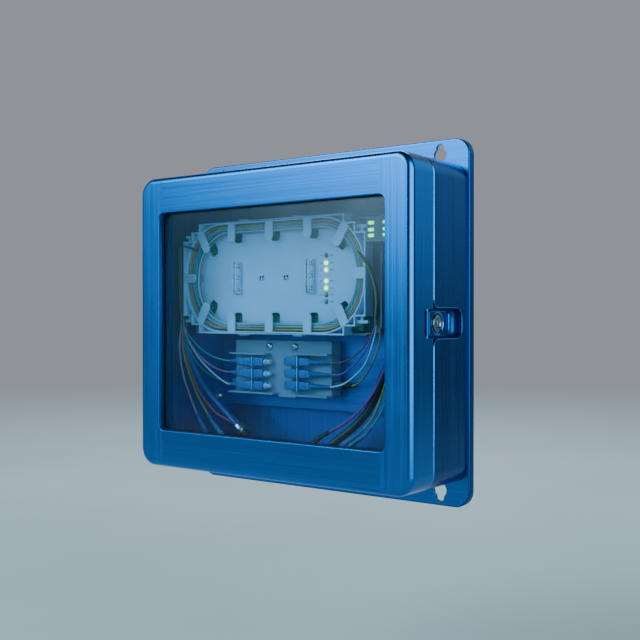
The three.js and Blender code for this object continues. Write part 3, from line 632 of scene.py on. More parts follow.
# lighter, brighter copy of the anodised blue for rounded edges, seams and rims: a painted highlight along them
M_EDGE = metal("edge_painted_highlight_blue", (0.05, 0.34, 0.80), 0.20, 600, 0.06, 0.2, 0.12)
M_POCKET = metal("latch_dark_blue", (0.003, 0.075, 0.30), 0.36, 700, 0.2, 0.1, 0.25)
M_LEVER = metal("lever_dark_blue", (0.004, 0.060, 0.24), 0.26, 900, 0.2, 0.15, 0.25)
M_GLASS = clear_glass("window_clear")
M_RUB = rubber("gasket_black")
M_FOAM = plastic("seal_foam", (0.02, 0.06, 0.12), rough=0.85, grain=1400, bumps=0.6, spec=0.2, vary=0.35)
M_STEEL = metal("steel_bright", (0.62, 0.64, 0.67), 0.26, 1100, 0.2)
M_CHROME = metal("lock_chrome", (0.30, 0.30, 0.31), 0.13, 500, 0.06, 0.0, 0.12)
M_SHUT = metal("key_shutter", (0.95, 0.94, 0.92), 0.42, 500, 0.06, 0.0, 0.05)
M_ZINC = metal("zinc_satin", (0.48, 0.50, 0.53), 0.38, 800, 0.25)
M_ABS = plastic("tray_white", (0.52, 0.64, 0.84), rough=0.40, grain=3600, bumps=0.10, spec=0.45, vary=0.06, sss=0.0, dark=0.9)
M_ABS2 = plastic("holder_white", (0.60, 0.71, 0.84), rough=0.34, grain=3000, bumps=0.08, spec=0.5, vary=0.06)
M_GREY = plastic("bracket_grey", (0.26, 0.30, 0.40), rough=0.45, grain=2600, bumps=0.16, spec=0.4, vary=0.12)
M_GREY2 = plastic("carrier_grey", (0.26, 0.33, 0.42), rough=0.5, grain=2600, bumps=0.16, spec=0.35, vary=0.1)
M_SC = plastic("connector_blue", (0.012, 0.17, 0.46), rough=0.30, grain=2400, bumps=0.10, spec=0.5, vary=0.14)
M_SC2 = plastic("adapter_blue", (0.010, 0.145, 0.41), rough=0.34, grain=2400, bumps=0.12, spec=0.5, vary=0.14)
M_BOOT = plastic("boot_blue", (0.02, 0.17, 0.38), rough=0.5, grain=1800, bumps=0.2, spec=0.35, vary=0.18)
M_BOOTK = plastic("boot_black", (0.012, 0.014, 0.018), rough=0.5, grain=1800, bumps=0.2, spec=0.35, vary=0.3)
M_CAPW = plastic("dust_cap_white", (0.42, 0.56, 0.66), rough=0.30, grain=2200, bumps=0.06, spec=0.5, vary=0.06)
M_FERR = plastic("ferrule_ceramic", (0.85, 0.86, 0.85), rough=0.12, grain=1500, bumps=0.03, spec=0.6, vary=0.04)
# white for the splice sleeves, and for the thin strip along each adapter flange edge, which is a painted highlight
M_FLANGE = plastic("sleeve_white_and_flange_painted_highlight", (0.66, 0.74, 0.80), rough=0.35, grain=2400, bumps=0.06, spec=0.5, vary=0.05)
M_PCB = pcb("board_green")
M_BLACK = plastic("port_charcoal", (0.022, 0.025, 0.030), rough=0.42, grain=2600, bumps=0.16, spec=0.45, vary=0.2)
M_STAT = plastic("status_grey", (0.16, 0.19, 0.23), rough=0.5, grain=2600, bumps=0.16, spec=0.4, vary=0.12)
M_MARK = plastic("print_grey", (0.16, 0.22, 0.30), rough=0.55, grain=2600, bumps=0.05, spec=0.3, vary=0.1)
M_LED = lit("lens_lit", [(LED_X, z) for z in LED_Z[:4]], (0.72, 1.0, 0.42), (0.36, 0.92, 0.06), 2.1, 3.2)
M_LEDOFF = plastic("lens_unlit", (0.30, 0.38, 0.36), rough=0.22, grain=1600, bumps=0.05, spec=0.6, vary=0.08)
M_STLED = lit("status_lens_lit", [(x, z) for x in (84.1, 98.8) for z in (83.9, 78.1, 73.3)], (0.42, 1.0, 0.22), (0.06, 0.70, 0.05), 3.0, 2.4)
# emissive tint on the rims round the lit windows: painted glow of the LEDs on the surround
M_GLOW = lit("rim_painted_led_glow", [(LED_X, z) for z in LED_Z[:4]], (0.40, 0.95, 0.12), (0.30, 0.50, 0.40), 3.6, 0.55)
M_BUTTON = plastic("button_grey", (0.16, 0.22, 0.27), rough=0.4, grain=2600, bumps=0.1, spec=0.5, vary=0.1)

FIB = {}
for nm, c in dict(teal=(0.05, 0.42, 0.36), pink=(0.55, 0.20, 0.32), white=(0.72, 0.76, 0.80), green=(0.04, 0.30, 0.16),
                  brown=(0.30, 0.10, 0.07), yellow=(0.62, 0.42, 0.05), red=(0.50, 0.06, 0.07), blue=(0.012, 0.075, 0.27),
                  orange=(0.66, 0.26, 0.06), violet=(0.24, 0.12, 0.42), grey=(0.40, 0.45, 0.50), magenta=(0.42, 0.05, 0.28),
                  black=(0.015, 0.016, 0.02), olive=(0.34, 0.30, 0.07), navy=(0.02, 0.05, 0.20), umber=(0.13, 0.09, 0.06), bark=(0.10, 0.10, 0.09), rose=(0.52, 0.24, 0.26), pearl=(0.50, 0.53, 0.62), gold=(0.34, 0.25, 0.06), sky=(0.16, 0.40, 0.58)).items():
    FIB[nm] = plastic("coat_" + nm, c, rough=0.36, grain=1200, bumps=0.08, spec=0.5, vary=0.2)


def outer(d, n=12):
    return rr(-HW + d, HW - d, -HH + d, HH - d, RC - d, n)


# ------------------------------------------------------------------ door shell
def make_door():
    n = 12
    rings, mats = [], []

    def R(pts, y, m=0):
        rings.append((pts, y))
        mats.append(m)

    # back edge, rounded both sides, in the brighter edge material: a painted highlight along the seam
    for i in range(4):
        a = i / 3 * math.pi / 2
        R(outer(0.9 * (1 - math.sin(a)), n), Y_DOOR_BACK - 0.9 * (1 - math.cos(a)), 1)
    mats[-1] = 0
    R(outer(0, n), Y_FRONT + FIL, 0)
    for i in range(1, 13):
        a = i / 12 * math.pi / 2
        R(outer(FIL * (1 - math.cos(a)), n), Y_FRONT + FIL * (1 - math.sin(a)), 0)
    w = lambda d: rr(WIN[0] + d, WIN[1] - d, WIN[2] + d, WIN[3] - d, 6 - d, n)
    R(w(-0.5), Y_FRONT, 0)
    for i in range(1, 5):
        a = i / 4 * math.pi / 2
        R(w(-0.5 * (1 - math.sin(a))), Y_FRONT + 0.5 * (1 - math.cos(a)), 0)
    mats[-1] = 2
    R(w(0), -91.0, 2)
    R(outer(WALL, n), -91.0, 2)
    R(outer(WALL, n), Y_DOOR_BACK - 0.6, 2)
    R(outer(WALL - 0.6, n), Y_DOOR_BACK, 1)
    d = loft("door_shell", rings, "Y", [M_DOOR, M_EDGE, M_INNER], loop=True, ring_mat=mats, smooth=25)
    liner = box("liner", 141.4, 148, -79.6, Y_DOOR_BACK, -16, 16, M_INNER)
    carve(d, [liner], "UNION", 25)
    notch = slab("notch", rr(-77.5, -55, -11.4, 11.4, 1.2, 4), 143.9, 153, "X", M_POCKET)
    pin = slab("pinhole", circ(LEV_X, LEV_Y, 1.26, 20), -14.8, 14.8, "Z", M_POCKET)
    carve(d, [notch, pin], "DIFFERENCE", 25)
    soften(d, 0, weighted=True)
    add(d, "door", ["door_frame"], "blue_anodised")
    return d


make_door()


# ------------------------------------------------------------------ housing shell and latch cup
def pocket_pts(g, n=8):
    out = []
    yf, ye, h, R = Y_SEAM - 3, -17 + g, 12.4 + g, 8.0
    out += [(yf, -18.8 - g), (Y_SEAM, -18.8 - g)]
    for i in range(1, n + 1):
        a = i / n * math.pi / 2
        out.append((Y_SEAM + 7.2 * (1 - math.cos(a)), -h - 6.4 * (1 - math.sin(a))))
    for i in range(n + 1):
        a = -math.pi / 2 + i / n * math.pi / 2
        out.append((ye - R + R * math.cos(a), -h + R + R * math.sin(a)))
    for i in range(n + 1):
        a = i / n * math.pi / 2
        out.append((ye - R + R * math.cos(a), h - R + R * math.sin(a)))
    for i in range(n - 1, -1, -1):
        a = i / n * math.pi / 2
        out.append((Y_SEAM + 7.2 * (1 - math.cos(a)), h + 6.4 * (1 - math.sin(a))))
    out.append((yf, 18.8 + g))
    return out


def make_shell():
    n = 12
    rings, mats = [], []

    def R(pts, y, m=0):
        rings.append((pts, y))
        mats.append(m)

    R(outer(1.0, n), Y_TUB_BACK, 0)
    R(outer(0.3, n), Y_TUB_BACK - 0.3, 0)
    R(outer(0, n), Y_TUB_BACK - 1.0, 0)
    # rounded front edge at the seam in the brighter edge material: a painted highlight along the seam
    R(outer(0, n), Y_SEAM + 0.9, 1)
    for i in range(1, 5):
        a = i / 4 * math.pi / 2
        R(outer(0.9 * (1 - math.cos(a)), n), Y_SEAM + 0.9 * (1 - math.sin(a)), 1)
    R(outer(WALL - 0.5, n), Y_SEAM, 2)
    R(outer(WALL, n), Y_SEAM + 0.5, 2)
    R(outer(WALL, n), Y_SEAM + 1.2, 2)
    R(outer(6.8, n), Y_SEAM + 1.2, 2)
    R(outer(6.8, n), Y_SEAM + 4.2, 2)
    R(outer(WALL, n), Y_SEAM + 4.2, 2)
    R(outer(WALL, n), Y_TUB_BACK - WALL - 2, 2)
    R(outer(WALL + 0.6, n), Y_TUB_BACK - WALL - 0.6, 2)
    R(outer(WALL + 2, n), Y_TUB_BACK - WALL, 2)
    s = loft("housing_shell", rings, "Y", [M_SHELL, M_EDGE, M_INNER], ring_mat=mats, smooth=25)
    cut = [
        slab("c1", pocket_pts(0), 146, 152, "X", M_SHELL),
        slab("c2", pocket_pts(2.3), 138.2, 147.0, "X", M_SHELL),
        box("c3", 130, 147, Y_SEAM - 1, Y_SEAM + 6, -24, 24, M_SHELL),
        box("c4", -118.2, -69.8, PORT_Y - 9.2, PORT_Y + 9.2, -137, -129.5, M_SHELL),
        box("c5", 1.8, 60.2, PORT_Y - 9.2, PORT_Y + 9.2, -137, -129.5, M_SHELL),
    ]
    carve(s, cut, smooth=25)
    soften(s, 0)
    add(s, "body", ["body_shell"], "blue_anodised")
    # rolled lip round the latch opening, a thin tube in the brighter edge material along the edge of the wall: a
    # painted highlight
    path = [(149.75, y, z) for y, z in pocket_pts(0.12)[1:-1]]
    lip = tube("latch_opening_edge", path, 0.32, M_EDGE, sides=8, smooth_path=False)
    add(lip, "body", slot="blue_anodised")


make_shell()


def make_cup():
    c = slab("latch_cup", pocket_pts(2.0), 138.4, 146.8, "X", [M_POCKET])
    carve(c, [
        loft("k1", [(pocket_pts(0.0), 152.0)] + [(pocket_pts(-4.2 * (1 - math.cos(t * math.pi / 16))), 144.6 - 4.2 * math.sin(t * math.pi / 16)) for t in range(9)], "X", M_POCKET, smooth=40),
        box("k2", 130, 152, Y_SEAM - 6, Y_SEAM + 0.05, -30, 30, M_POCKET),
        slab("k3", rr(Y_SEAM - 6, -36, -8.3, 8.3, 1.5, 4), 130, 141, "X", M_POCKET),
    ])
    lug = box("latch_keeper_lug", 134.6, 138.6, Y_SEAM + 0.1, -60.3, 8.6, 14.5, M_POCKET, 0.3)
    # shallow dished grip with a rounded leading edge, in the brighter edge material: a painted highlight on that edge
    grip = slab("grip_edge", rr(-25.9, -24.5, -6.5, 8, 0.65, 4), 140.2, 142.6, "X", M_EDGE, 0.45, 3)
    c = join("latch_cup", [c, lug, grip])
    tidy(c, 30)
    add(c, "body", ["latch_pocket"], "latch_blue")


make_cup()


def make_lever():
    plate = rr(-69, -42.6, -10.3, 10.3, 2.0, 6)
    rings = [(plate, 146.8), (plate, 148.3)]
    for i in range(1, 6):
        a = i / 5 * math.pi / 2
        d = 1.3 * (1 - math.cos(a))
        rings.append((rr(-69 + d, -42.6 - d, -10.3 + d, 10.3 - d, max(0.5, 2.0 - d), 6), 148.3 + 1.3 * math.sin(a)))
    lv = loft("latch_lever_plate", rings, "X", [M_LEVER, M_EDGE], smooth=28)
    barrel = slab("lb", circ(LEV_X, LEV_Y, 2.2, 40), -10.3, 10.3, "Z", M_LEVER, 0.3, 2)
    carve(lv, [barrel], "UNION", 28)
    # dished seat round the lock, with a raised ring
    seat = turned("seat", [(0, -1.1), (6.9, -1.1), (7.6, -1.0), (8.6, -0.35), (9.2, 0.2), (9.2, 2), (0, 2)], (149.6, LOCK_Y, 0), (1, 0, 0), M_LEVER, 48)
    hole = slab("h", circ(LOCK_Y, 0, 5.8, 40), 140, 152, "X", M_LEVER)
    bore = slab("b", circ(LEV_X, LEV_Y, 1.27, 20), -11, 11, "Z", M_LEVER)
    carve(lv, [seat, hole, bore], "DIFFERENCE", 28)
    soften(lv, 0)
    add(lv, "lever", ["latch_lever"], "latch_blue")
    # raised ring round the lock seat in the brighter edge material: a painted highlight
    ring = turned("lock_seat_ring", [(9.0, 0.0), (9.3, 0.05), (9.45, 0.2), (9.35, 0.36), (9.15, 0.42), (8.95, 0.32), (8.85, 0.14), (9.0, 0.0)], (149.35, LOCK_Y, 0), (1, 0, 0), M_EDGE, 56)
    add(ring, "lever", slot="latch_blue")


make_lever()


def make_lock():
    prof = [(0, 0), (5.5, 0)]
    s = 0.5
    while s < 9.9:
        prof += [(5.5, s), (5.2, s + 0.35), (5.5, s + 0.7)]
        s += 0.8
    prof += [(5.5, 10.4), (6.5, 10.4), (6.5, 11.0), (6.42, 11.35), (6.15, 11.6), (5.8, 11.7), (4.6, 11.66), (4.2, 11.3), (3.9, 11.0), (0, 11.0)]
    b = turned("lock_body", prof, (138.3, LOCK_Y, 0), (1, 0, 0), M_CHROME, 48, 30)
    carve(b, [slab("x", circ(LOCK_Y, 0, 3.6, 40), 137, 151, "X", M_CHROME)], smooth=30)
    add(b, "lever", ["lock_barrel"], "lock_chrome")
    p = turned("lock_key_plug", [(0, 0), (3.45, 0), (3.45, 10.6), (3.2, 10.95), (2.6, 11.15), (0, 11.2)], (138.3, LOCK_Y, 0), (1, 0, 0), M_CHROME, 40, 30)
    tail = box("t", 135.4, 138.5, LOCK_Y - 2, LOCK_Y + 2, -2, 2, M_CHROME)
    carve(p, [tail], "UNION", 30)
    carve(p, [box("k", 145.5, 151, LOCK_Y - 0.55, LOCK_Y + 0.55, -2.2, 2.2, M_BLACK), box("k2", 146.5, 151, LOCK_Y - 0.95, LOCK_Y + 0.2, -1.2, -0.5, M_BLACK)], smooth=30)
    add(p, "lock", ["lock_plug"], "lock_chrome")
    sh = slab("key_shutter", rr(LOCK_Y - 0.5, LOCK_Y + 0.5, -2.1, 2.1, 0.45, 4), 145.7, 149.2, "X", M_SHUT, 0.2, 2)
    add(sh, "lock", slot="lock_chrome")
    nut = loft("lock_ring_nut", [(circ(LOCK_Y, 0, 7.4, 6), 144.3), (circ(LOCK_Y, 0, 7.9, 6), 144.8), (circ(LOCK_Y, 0, 7.9, 6), 146.0), (circ(LOCK_Y, 0, 7.4, 6), 146.5)], "X", M_STEEL)
    carve(nut, [slab("n", circ(LOCK_Y, 0, 5.7, 40), 140, 150, "X", M_STEEL)])
    add(nut, "lever", ["lock_nut"], "steel_bright")
    cam = slab("lock_cam_plate", rr(LOCK_Y - 3.4, LOCK_Y + 12.4, -3.4, 3.4, 3.3, 8), 136.0, 137.9, "X", M_ZINC, 0.25, 2)
    carve(cam, [box("q", 134, 140, LOCK_Y - 2.06, LOCK_Y + 2.06, -2.06, 2.06, M_ZINC)])
    add(cam, "lock", ["lock_cam"], "steel_bright")
    pin = slab("lever_pivot_pin", circ(LEV_X, LEV_Y, 1.2, 24), -14.6, 14.6, "Z", M_STEEL, 0.25, 2)
    add(pin, "door", ["latch_pin"], "steel_bright")


make_lock()


# ------------------------------------------------------------------ mounting plate
def make_plate():
    n = 10
    f = lambda d: rr(-PLATE_HW + d, PLATE_HW - d, -PLATE_HH + d, PLATE_HH - d, PLATE_R - d, n)
    rings, mats = [], []

    def R(pts, y, m=0):
        rings.append((pts, y))
        mats.append(m)

    R(f(0.5), 0.0, 1)
    R(f(0.0), -0.5, 1)
    R(f(0.0), -PLATE_T + 1.6, 1)
    for i in range(1, 6):
        a = i / 5 * math.pi / 2
        R(f(1.6 * (1 - math.cos(a))), -PLATE_T + 1.6 * (1 - math.sin(a)), 1 if i < 4 else 0)
    outside = loft("plate_outer", rings, "Y", [M_PLATE, M_RIM], ring_mat=mats + [0], smooth=25)
    outside.data.polygons[-1].material_index = 0
    inner = slab("pi", f(3.0), -PLATE_T + 3, 2, "Y", M_PLATE)
    carve(outside, [inner], smooth=25)
    pad = slab("pad", rr(-45, 45, -45, 45, 5, 6), -PLATE_T + 2.5, 0, "Y", M_PLATE, 0.4, 2)
    r1 = box("r1", -149.5, 149.5, -PLATE_T + 2.5, -2, -1.5, 1.5, M_PLATE)
    r2 = box("r2", -1.5, 1.5, -PLATE_T + 2.5, -2, -152.6, 152.6, M_PLATE)
    carve(outside, [pad, r1, r2], "UNION", 25)
    cutters = []
    for sx in (-1, 1):
        for sz in (-1, 1):
            x = 124 * sx
            key = []
            R1, R2 = 6.3, 3.9
            a1 = math.asin(R2 / R1)
            # outline of the keyhole as one curve
            for i in range(25):
                a = math.pi / 2 + a1 + i / 24 * (2 * math.pi - 2 * a1)
                key.append((x + R1 * math.cos(a), sz * (142 + R1 * math.sin(a))))
            for i in range(1, 12):
                a = 0 + i / 12 * math.pi
                key.append((x + R2 * math.cos(a), sz * (148 + R2 * math.sin(a))))
            cutters.append(slab("key%d%d" % (sx, sz), key, -10, -3.5, "Y", M_EDGE))
    carve(outside, cutters, smooth=25)
    soften(outside, 0)
    outside.name = "wall_plate"
    add(outside, "body", ["back_plate"], "blue_anodised")


make_plate()


# ------------------------------------------------------------------ window
pane = loft("window_sheet", [(rr(-130.4, 130.4, -105.8, 106.6, 8.4, 6), -89.5), (rr(-131, 131, -106.4, 107.2, 9, 6), -88.9),
                             (rr(-131, 131, -106.4, 107.2, 9, 6), -87.1), (rr(-130.4, 130.4, -105.8, 106.6, 8.4, 6), -86.5)], "Y", M_GLASS)
add(pane, "door", ["window_pane"], "window_clear")


def ring_piece(name, o0, o1, y0, y1, mats, rnd=0.3, smooth=35):
    """Frame-shaped strip between two outlines (same point count), edges rounded."""
    rings = [(o0(rnd), y0), (o0(0), y0 + rnd), (o0(0), y1 - rnd), (o0(rnd), y1), (o1(-rnd), y1), (o1(0), y1 - rnd), (o1(0), y0 + rnd), (o1(-rnd), y0)]
    return loft(name, rings, "Y", mats, loop=True, smooth=smooth)


g = ring_piece("window_gasket_bead", lambda d: rr(-131 + d, 131 - d, -106.4 + d, 107.2 - d, 9 - d, 8), lambda d: rr(-123.9 + d, 123.9 - d, -99.3 + d, 100.1 - d, 5 - d, 8), -90.8, -89.7, M_RUB, 0.25)
add(g, "door", ["window_gasket"], "gasket_rubber")
s = ring_piece("door_foam_seal", lambda d: outer(3.3 + d, 8), lambda d: outer(6.6 + d, 8), -67.4, -62.0, M_FOAM, 0.8)
carve(s, [box("sc", 138, 150, -70, -60, -23, 23, M_FOAM)])
add(s, "door", ["door_seal"], "gasket_rubber")


# ------------------------------------------------------------------ hinges
for tag, z in zip(("upper", "lower"), HINGE_Z):
    parts = [slab("hf", rr(-62.2, -40, z - 20, z + 20, 2.5, 4), -152.6, -150.4, "X", M_ZINC, 0.3, 2)]
    parts += [slab("hk", circ(HINGE_X, HINGE_Y, 4.4, 36), a, b, "Z", M_ZINC, 0.3, 2) for a, b in ((z - 20, z - 8.3), (z + 8.3, z + 20))]
    parts += [box("hb", -156, -150.4, -62.2, -59.4, a, b, M_ZINC) for a, b in ((z - 20, z - 8.3), (z + 8.3, z + 20))]
    f = parts[0]
    carve(f, parts[1:], "UNION")
    carve(f, [slab("hc", circ(HINGE_X, HINGE_Y, 5.0, 36), z - 8.3, z + 8.3, "Z", M_ZINC)])
    carve(f, [slab("hp", circ(HINGE_X, HINGE_Y, 1.8, 30), z - 19, z + 19, "Z", M_STEEL)], "UNION")
    screws = [turned("hs", [(0, 0.0), (2.9, 0.0), (2.9, 0.25), (1.6, 0.75), (0, 0.8)], (-152.6, y, z + dz), (-1, 0, 0), M_STEEL, 20) for y, dz in ((-46, 12), (-46, -12))]
    f = join("hinge_%s_leaf_a" % tag, [f] + screws)
    add(f, "body", ["hinge_%s_fixed_leaf" % tag], "steel_bright")
    m = slab("mf", rr(-86, -63.8, z - 20, z + 20, 2.5, 4), -152.6, -150.4, "X", M_ZINC, 0.3, 2)
    carve(m, [slab("mk", circ(HINGE_X, HINGE_Y, 4.4, 36), z - 8, z + 8, "Z", M_ZINC, 0.3, 2), box("mb", -156, -150.4, -66.6, -63.8, z - 8, z + 8, M_ZINC)], "UNION")
    carve(m, [slab("m1", circ(HINGE_X, HINGE_Y, 5.0, 36), z - 22, z - 8, "Z", M_ZINC), slab("m2", circ(HINGE_X, HINGE_Y, 5.0, 36), z + 8, z + 22, "Z", M_ZINC),
              slab("m3", circ(HINGE_X, HINGE_Y, 1.87, 30), z - 9, z + 9, "Z", M_STEEL)])
    screws = [turned("hs", [(0, 0.0), (2.9, 0.0), (2.9, 0.25), (1.6, 0.75), (0, 0.8)], (-152.6, y, z + dz), (-1, 0, 0), M_STEEL, 20) for y, dz in ((-80, 12), (-80, -12))]
    m = join("hinge_%s_leaf_b" % tag, [m] + screws)
    add(m, "door", ["hinge_%s_moving_leaf" % tag], "steel_bright")


# ------------------------------------------------------------------ CAD nodes that keep their shape
def keep(name, mat, bevel=0.0, segs=2, smooth=35):
    ob = NODES[name]
    ob.data.materials.clear() if False else None
    for sl in ob.material_slots:
        sl.link = "OBJECT"
        sl.material = mat
    if bevel:
        d = ob.modifiers.new("flat", "DECIMATE")
        d.decimate_type = "DISSOLVE"
        d.angle_limit = math.radians(1.0)
        soften(ob, bevel, segs, 38)
    return ob


keep("chassis_plate", M_CHAS, 0.4)
keep("board_carrier", M_GREY2, 0.4)
keep("main_board", M_PCB)
keep("optical_module", M_ZINC, 0.4)
keep("splice_tray", M_ABS, 0.2)
for t in ("left", "right"):
    keep("port_block_" + t, M_BLACK, 0.4)
keep("connector_bracket", M_GREY, 0.3)
keep("status_block", M_STAT, 0.25)
keep("status_light_guide", M_STLED, 0.15)
keep("reset_button", M_BUTTON, 0.15)


# ------------------------------------------------------------------ splice holders, tray details
def bar(x0, x1, y0, y1, z0, z1, mat, bevel=0.15):
    return box("bar", x0, x1, y0, y1, z0, z1, mat, bevel, 1)


for t, x in (("left", -72.8), ("right", 13.2)):
    ps = [slab("base", rr(x - 4.3, x + 4.3, 26, 56.4, 1.0, 4), -45.6, TRAY_FLOOR - 0.15, "Y", M_ABS2, 0.25, 2)]
    for sx in (-1, 1):
        xa, xb = sorted((x + sx * 2.3, x + sx * 4.25))
        for z0, z1 in ((26.2, 28.6), (31.8, 39.2), (43.2, 50.4), (53.8, 56.2)):
            ps.append(bar(xa, xb, -48.5, -45.3, z0, z1, M_ABS2))
        xc, xd = sorted((x + sx * 1.5, x + sx * 4.0))
        for z in (30.2, 41.2, 52.1):
            ps.append(bar(xc, xd, -49.3, -48.0, z - 0.95, z + 0.95, M_ABS2, 0.25))
            xe, xf = sorted((x + sx * 3.0, x + sx * 4.0))
            ps.append(bar(xe, xf, -48.6, -45.3, z - 0.95, z + 0.95, M_ABS2))
            # thin black plates beside each finger: painted shade in the gaps of the white holder
            xg, xh = sorted((x + sx * 2.35, x + sx * 2.95))
            ps.append(bar(xg, xh, -46.0, -45.55, z - 1.4, z + 1.4, M_BLACK, 0.0))
    h = join("sleeve_holder_" + t, ps)
    add(h, "body", ["splice_holder_" + t], "abs_white")
    sl = turned("sleeve_" + t, [(0, 0), (1.0, 0), (1.25, 0.35), (1.25, 26.6), (1.0, 27), (0, 27)], (x, -46.9, 27.7), (0, 0, 1), M_FLANGE, 20)
    add(sl, "body", slot="abs_white")

# light guide: four lit lenses, two dark ones, one strip behind
for nm, zs, m, sl in (("lens_lit", LED_Z[:4], M_LED, "lit_lens"), ("lens_dark", LED_Z[4:], M_LEDOFF, "status_lens")):
    ls = [turned("l", [(0, 0), (1.62, 0), (1.62, 3.6), (1.5, 4.1), (1.1, 4.5), (0.55, 4.68), (0, 4.72)], (LED_X, -41.0, z), (0, -1, 0), m, 24) for z in zs]
    if nm == "lens_lit":
        ls.append(box("strip", LED_X - 2.4, LED_X + 2.4, -41.7, -39.7, 16, 54.4, M_LEDOFF, 0.3))
        add(join(nm, ls), "body", ["led_light_guide"], sl)
    else:
        add(join(nm, ls), "body", slot=sl)
# rims round the lit windows carry painted LED glow; the rims round the dark ones are print grey
rings_ = []
for z in LED_Z + (BUTTON_Z,):
    dark = z in LED_Z[4:] + (BUTTON_Z,)
    ro = 2.3 if dark else 2.9
    rings_.append(loft("rim", [(circ(LED_X, z, ro, 28), -44.02), (circ(LED_X, z, ro - 0.15, 28), -44.16 if not dark else -44.3), (circ(LED_X, z, 1.9, 28), -44.16 if not dark else -44.3), (circ(LED_X, z, 1.86, 28), -44.02)], "Y", M_MARK if dark else M_GLOW, loop=True))
add(join("lens_rims", rings_), "body", slot="abs_white")
# short plain register marks printed on both sides of each window
marks = []
for i, z in enumerate(LED_Z + (BUTTON_Z,)):
    marks.append(box("m", LED_X - 6.4, LED_X - 4.9, -44.12, -43.98, z - 0.45, z + 0.45, M_MARK))
    marks.append(box("m", LED_X - 4.4, LED_X - 3.7, -44.12, -43.98, z - 0.3, z + 0.3, M_MARK))
    marks.append(box("m", LED_X + 3.9, LED_X + 5.2, -44.12, -43.98, z - 0.35, z + 0.35, M_MARK))
    marks.append(box("m", LED_X + 5.7, LED_X + 7.4, -44.12, -43.98, z - 0.45, z + 0.45, M_MARK))
add(join("tray_print", marks), "body", slot="button_grey")
# the two pairs of snap hooks in the tray floor
hooks = []
for x in (-43.7, -15.0):
    # thin black strips on the floor beside each hook: painted shade in the slots round it
    for sx in (-1, 1):
        xa, xb = sorted((x + sx * 0.75, x + sx * 2.45))
        hooks.append(bar(xa, xb, -44.06, -43.9, 38.6, 44.0, M_BLACK, 0.0))
    hooks.append(slab("hk", rr(x - 2.9, x - 1.2, 38.9, 40.5, 0.5, 3), -46.0, -43.9, "Y", M_ABS2, 0.2, 2))
    hooks.append(slab("hk", rr(x + 1.2, x + 2.9, 38.9, 40.5, 0.5, 3), -46.0, -43.9, "Y", M_ABS2, 0.2, 2))
    hooks.append(slab("hk", rr(x - 2.9, x + 2.9, 42.6, 44.0, 0.5, 3), -45.6, -43.9, "Y", M_ABS2, 0.2, 2))
add(join("tray_snap_hooks", hooks), "body", slot="abs_white")


# ------------------------------------------------------------------ screws
def pan_screw(name, at, r_head, y_len, depth, node):
    """Domed head with a six-point socket, shank going in along +Y."""
    x, y, z = at
    prof = [(0, 0), (r_head * 0.44, 0), (r_head * 0.44, y_len)]
    for i in range(8):
        a = i / 7 * math.pi / 2
        prof.append((r_head * (0.985 if i == 0 else math.cos(a * 0.86)), y_len + 0.15 + depth * math.sin(a)))
    prof.append((0, prof[-1][1] + 0.04))
    o = turned(name, [prof[0], prof[1], prof[2], (r_head, y_len), (r_head, y_len + 0.2)] + prof[4:], at, (0, -1, 0), M_STEEL, 40, 32)
    top = -(y_len + depth)
    carve(o, [slab("sock", circ(x, z, r_head * 0.40, 6), y + top - 1.5, y + top + depth * 0.62, "Y", M_STEEL)], smooth=30)
    add(o, "body", [node], "steel_bright")


for t, x in (("left", -119), ("right", 119)):
    pan_screw("base_screw_" + t, (x, -13.9, -73), 4.4, 6.3, 3.1, "chassis_screw_" + t)
for t, x in (("left", -42.1), ("right", -12.4)):
    pan_screw("clamp_screw_" + t, (x, -27.2, -22.5), 3.6, 7.0, 2.4, "bracket_screw_" + t)


# ------------------------------------------------------------------ square connectors
def housing(name, x0, x1, z, hy, hz, mat, yc=-38.1, bev=0.45):
    return slab(name, rr(yc - hy, yc + hy, z - hz, z + hz, 0.7, 4), x0, x1, "X", mat, bev, 3)


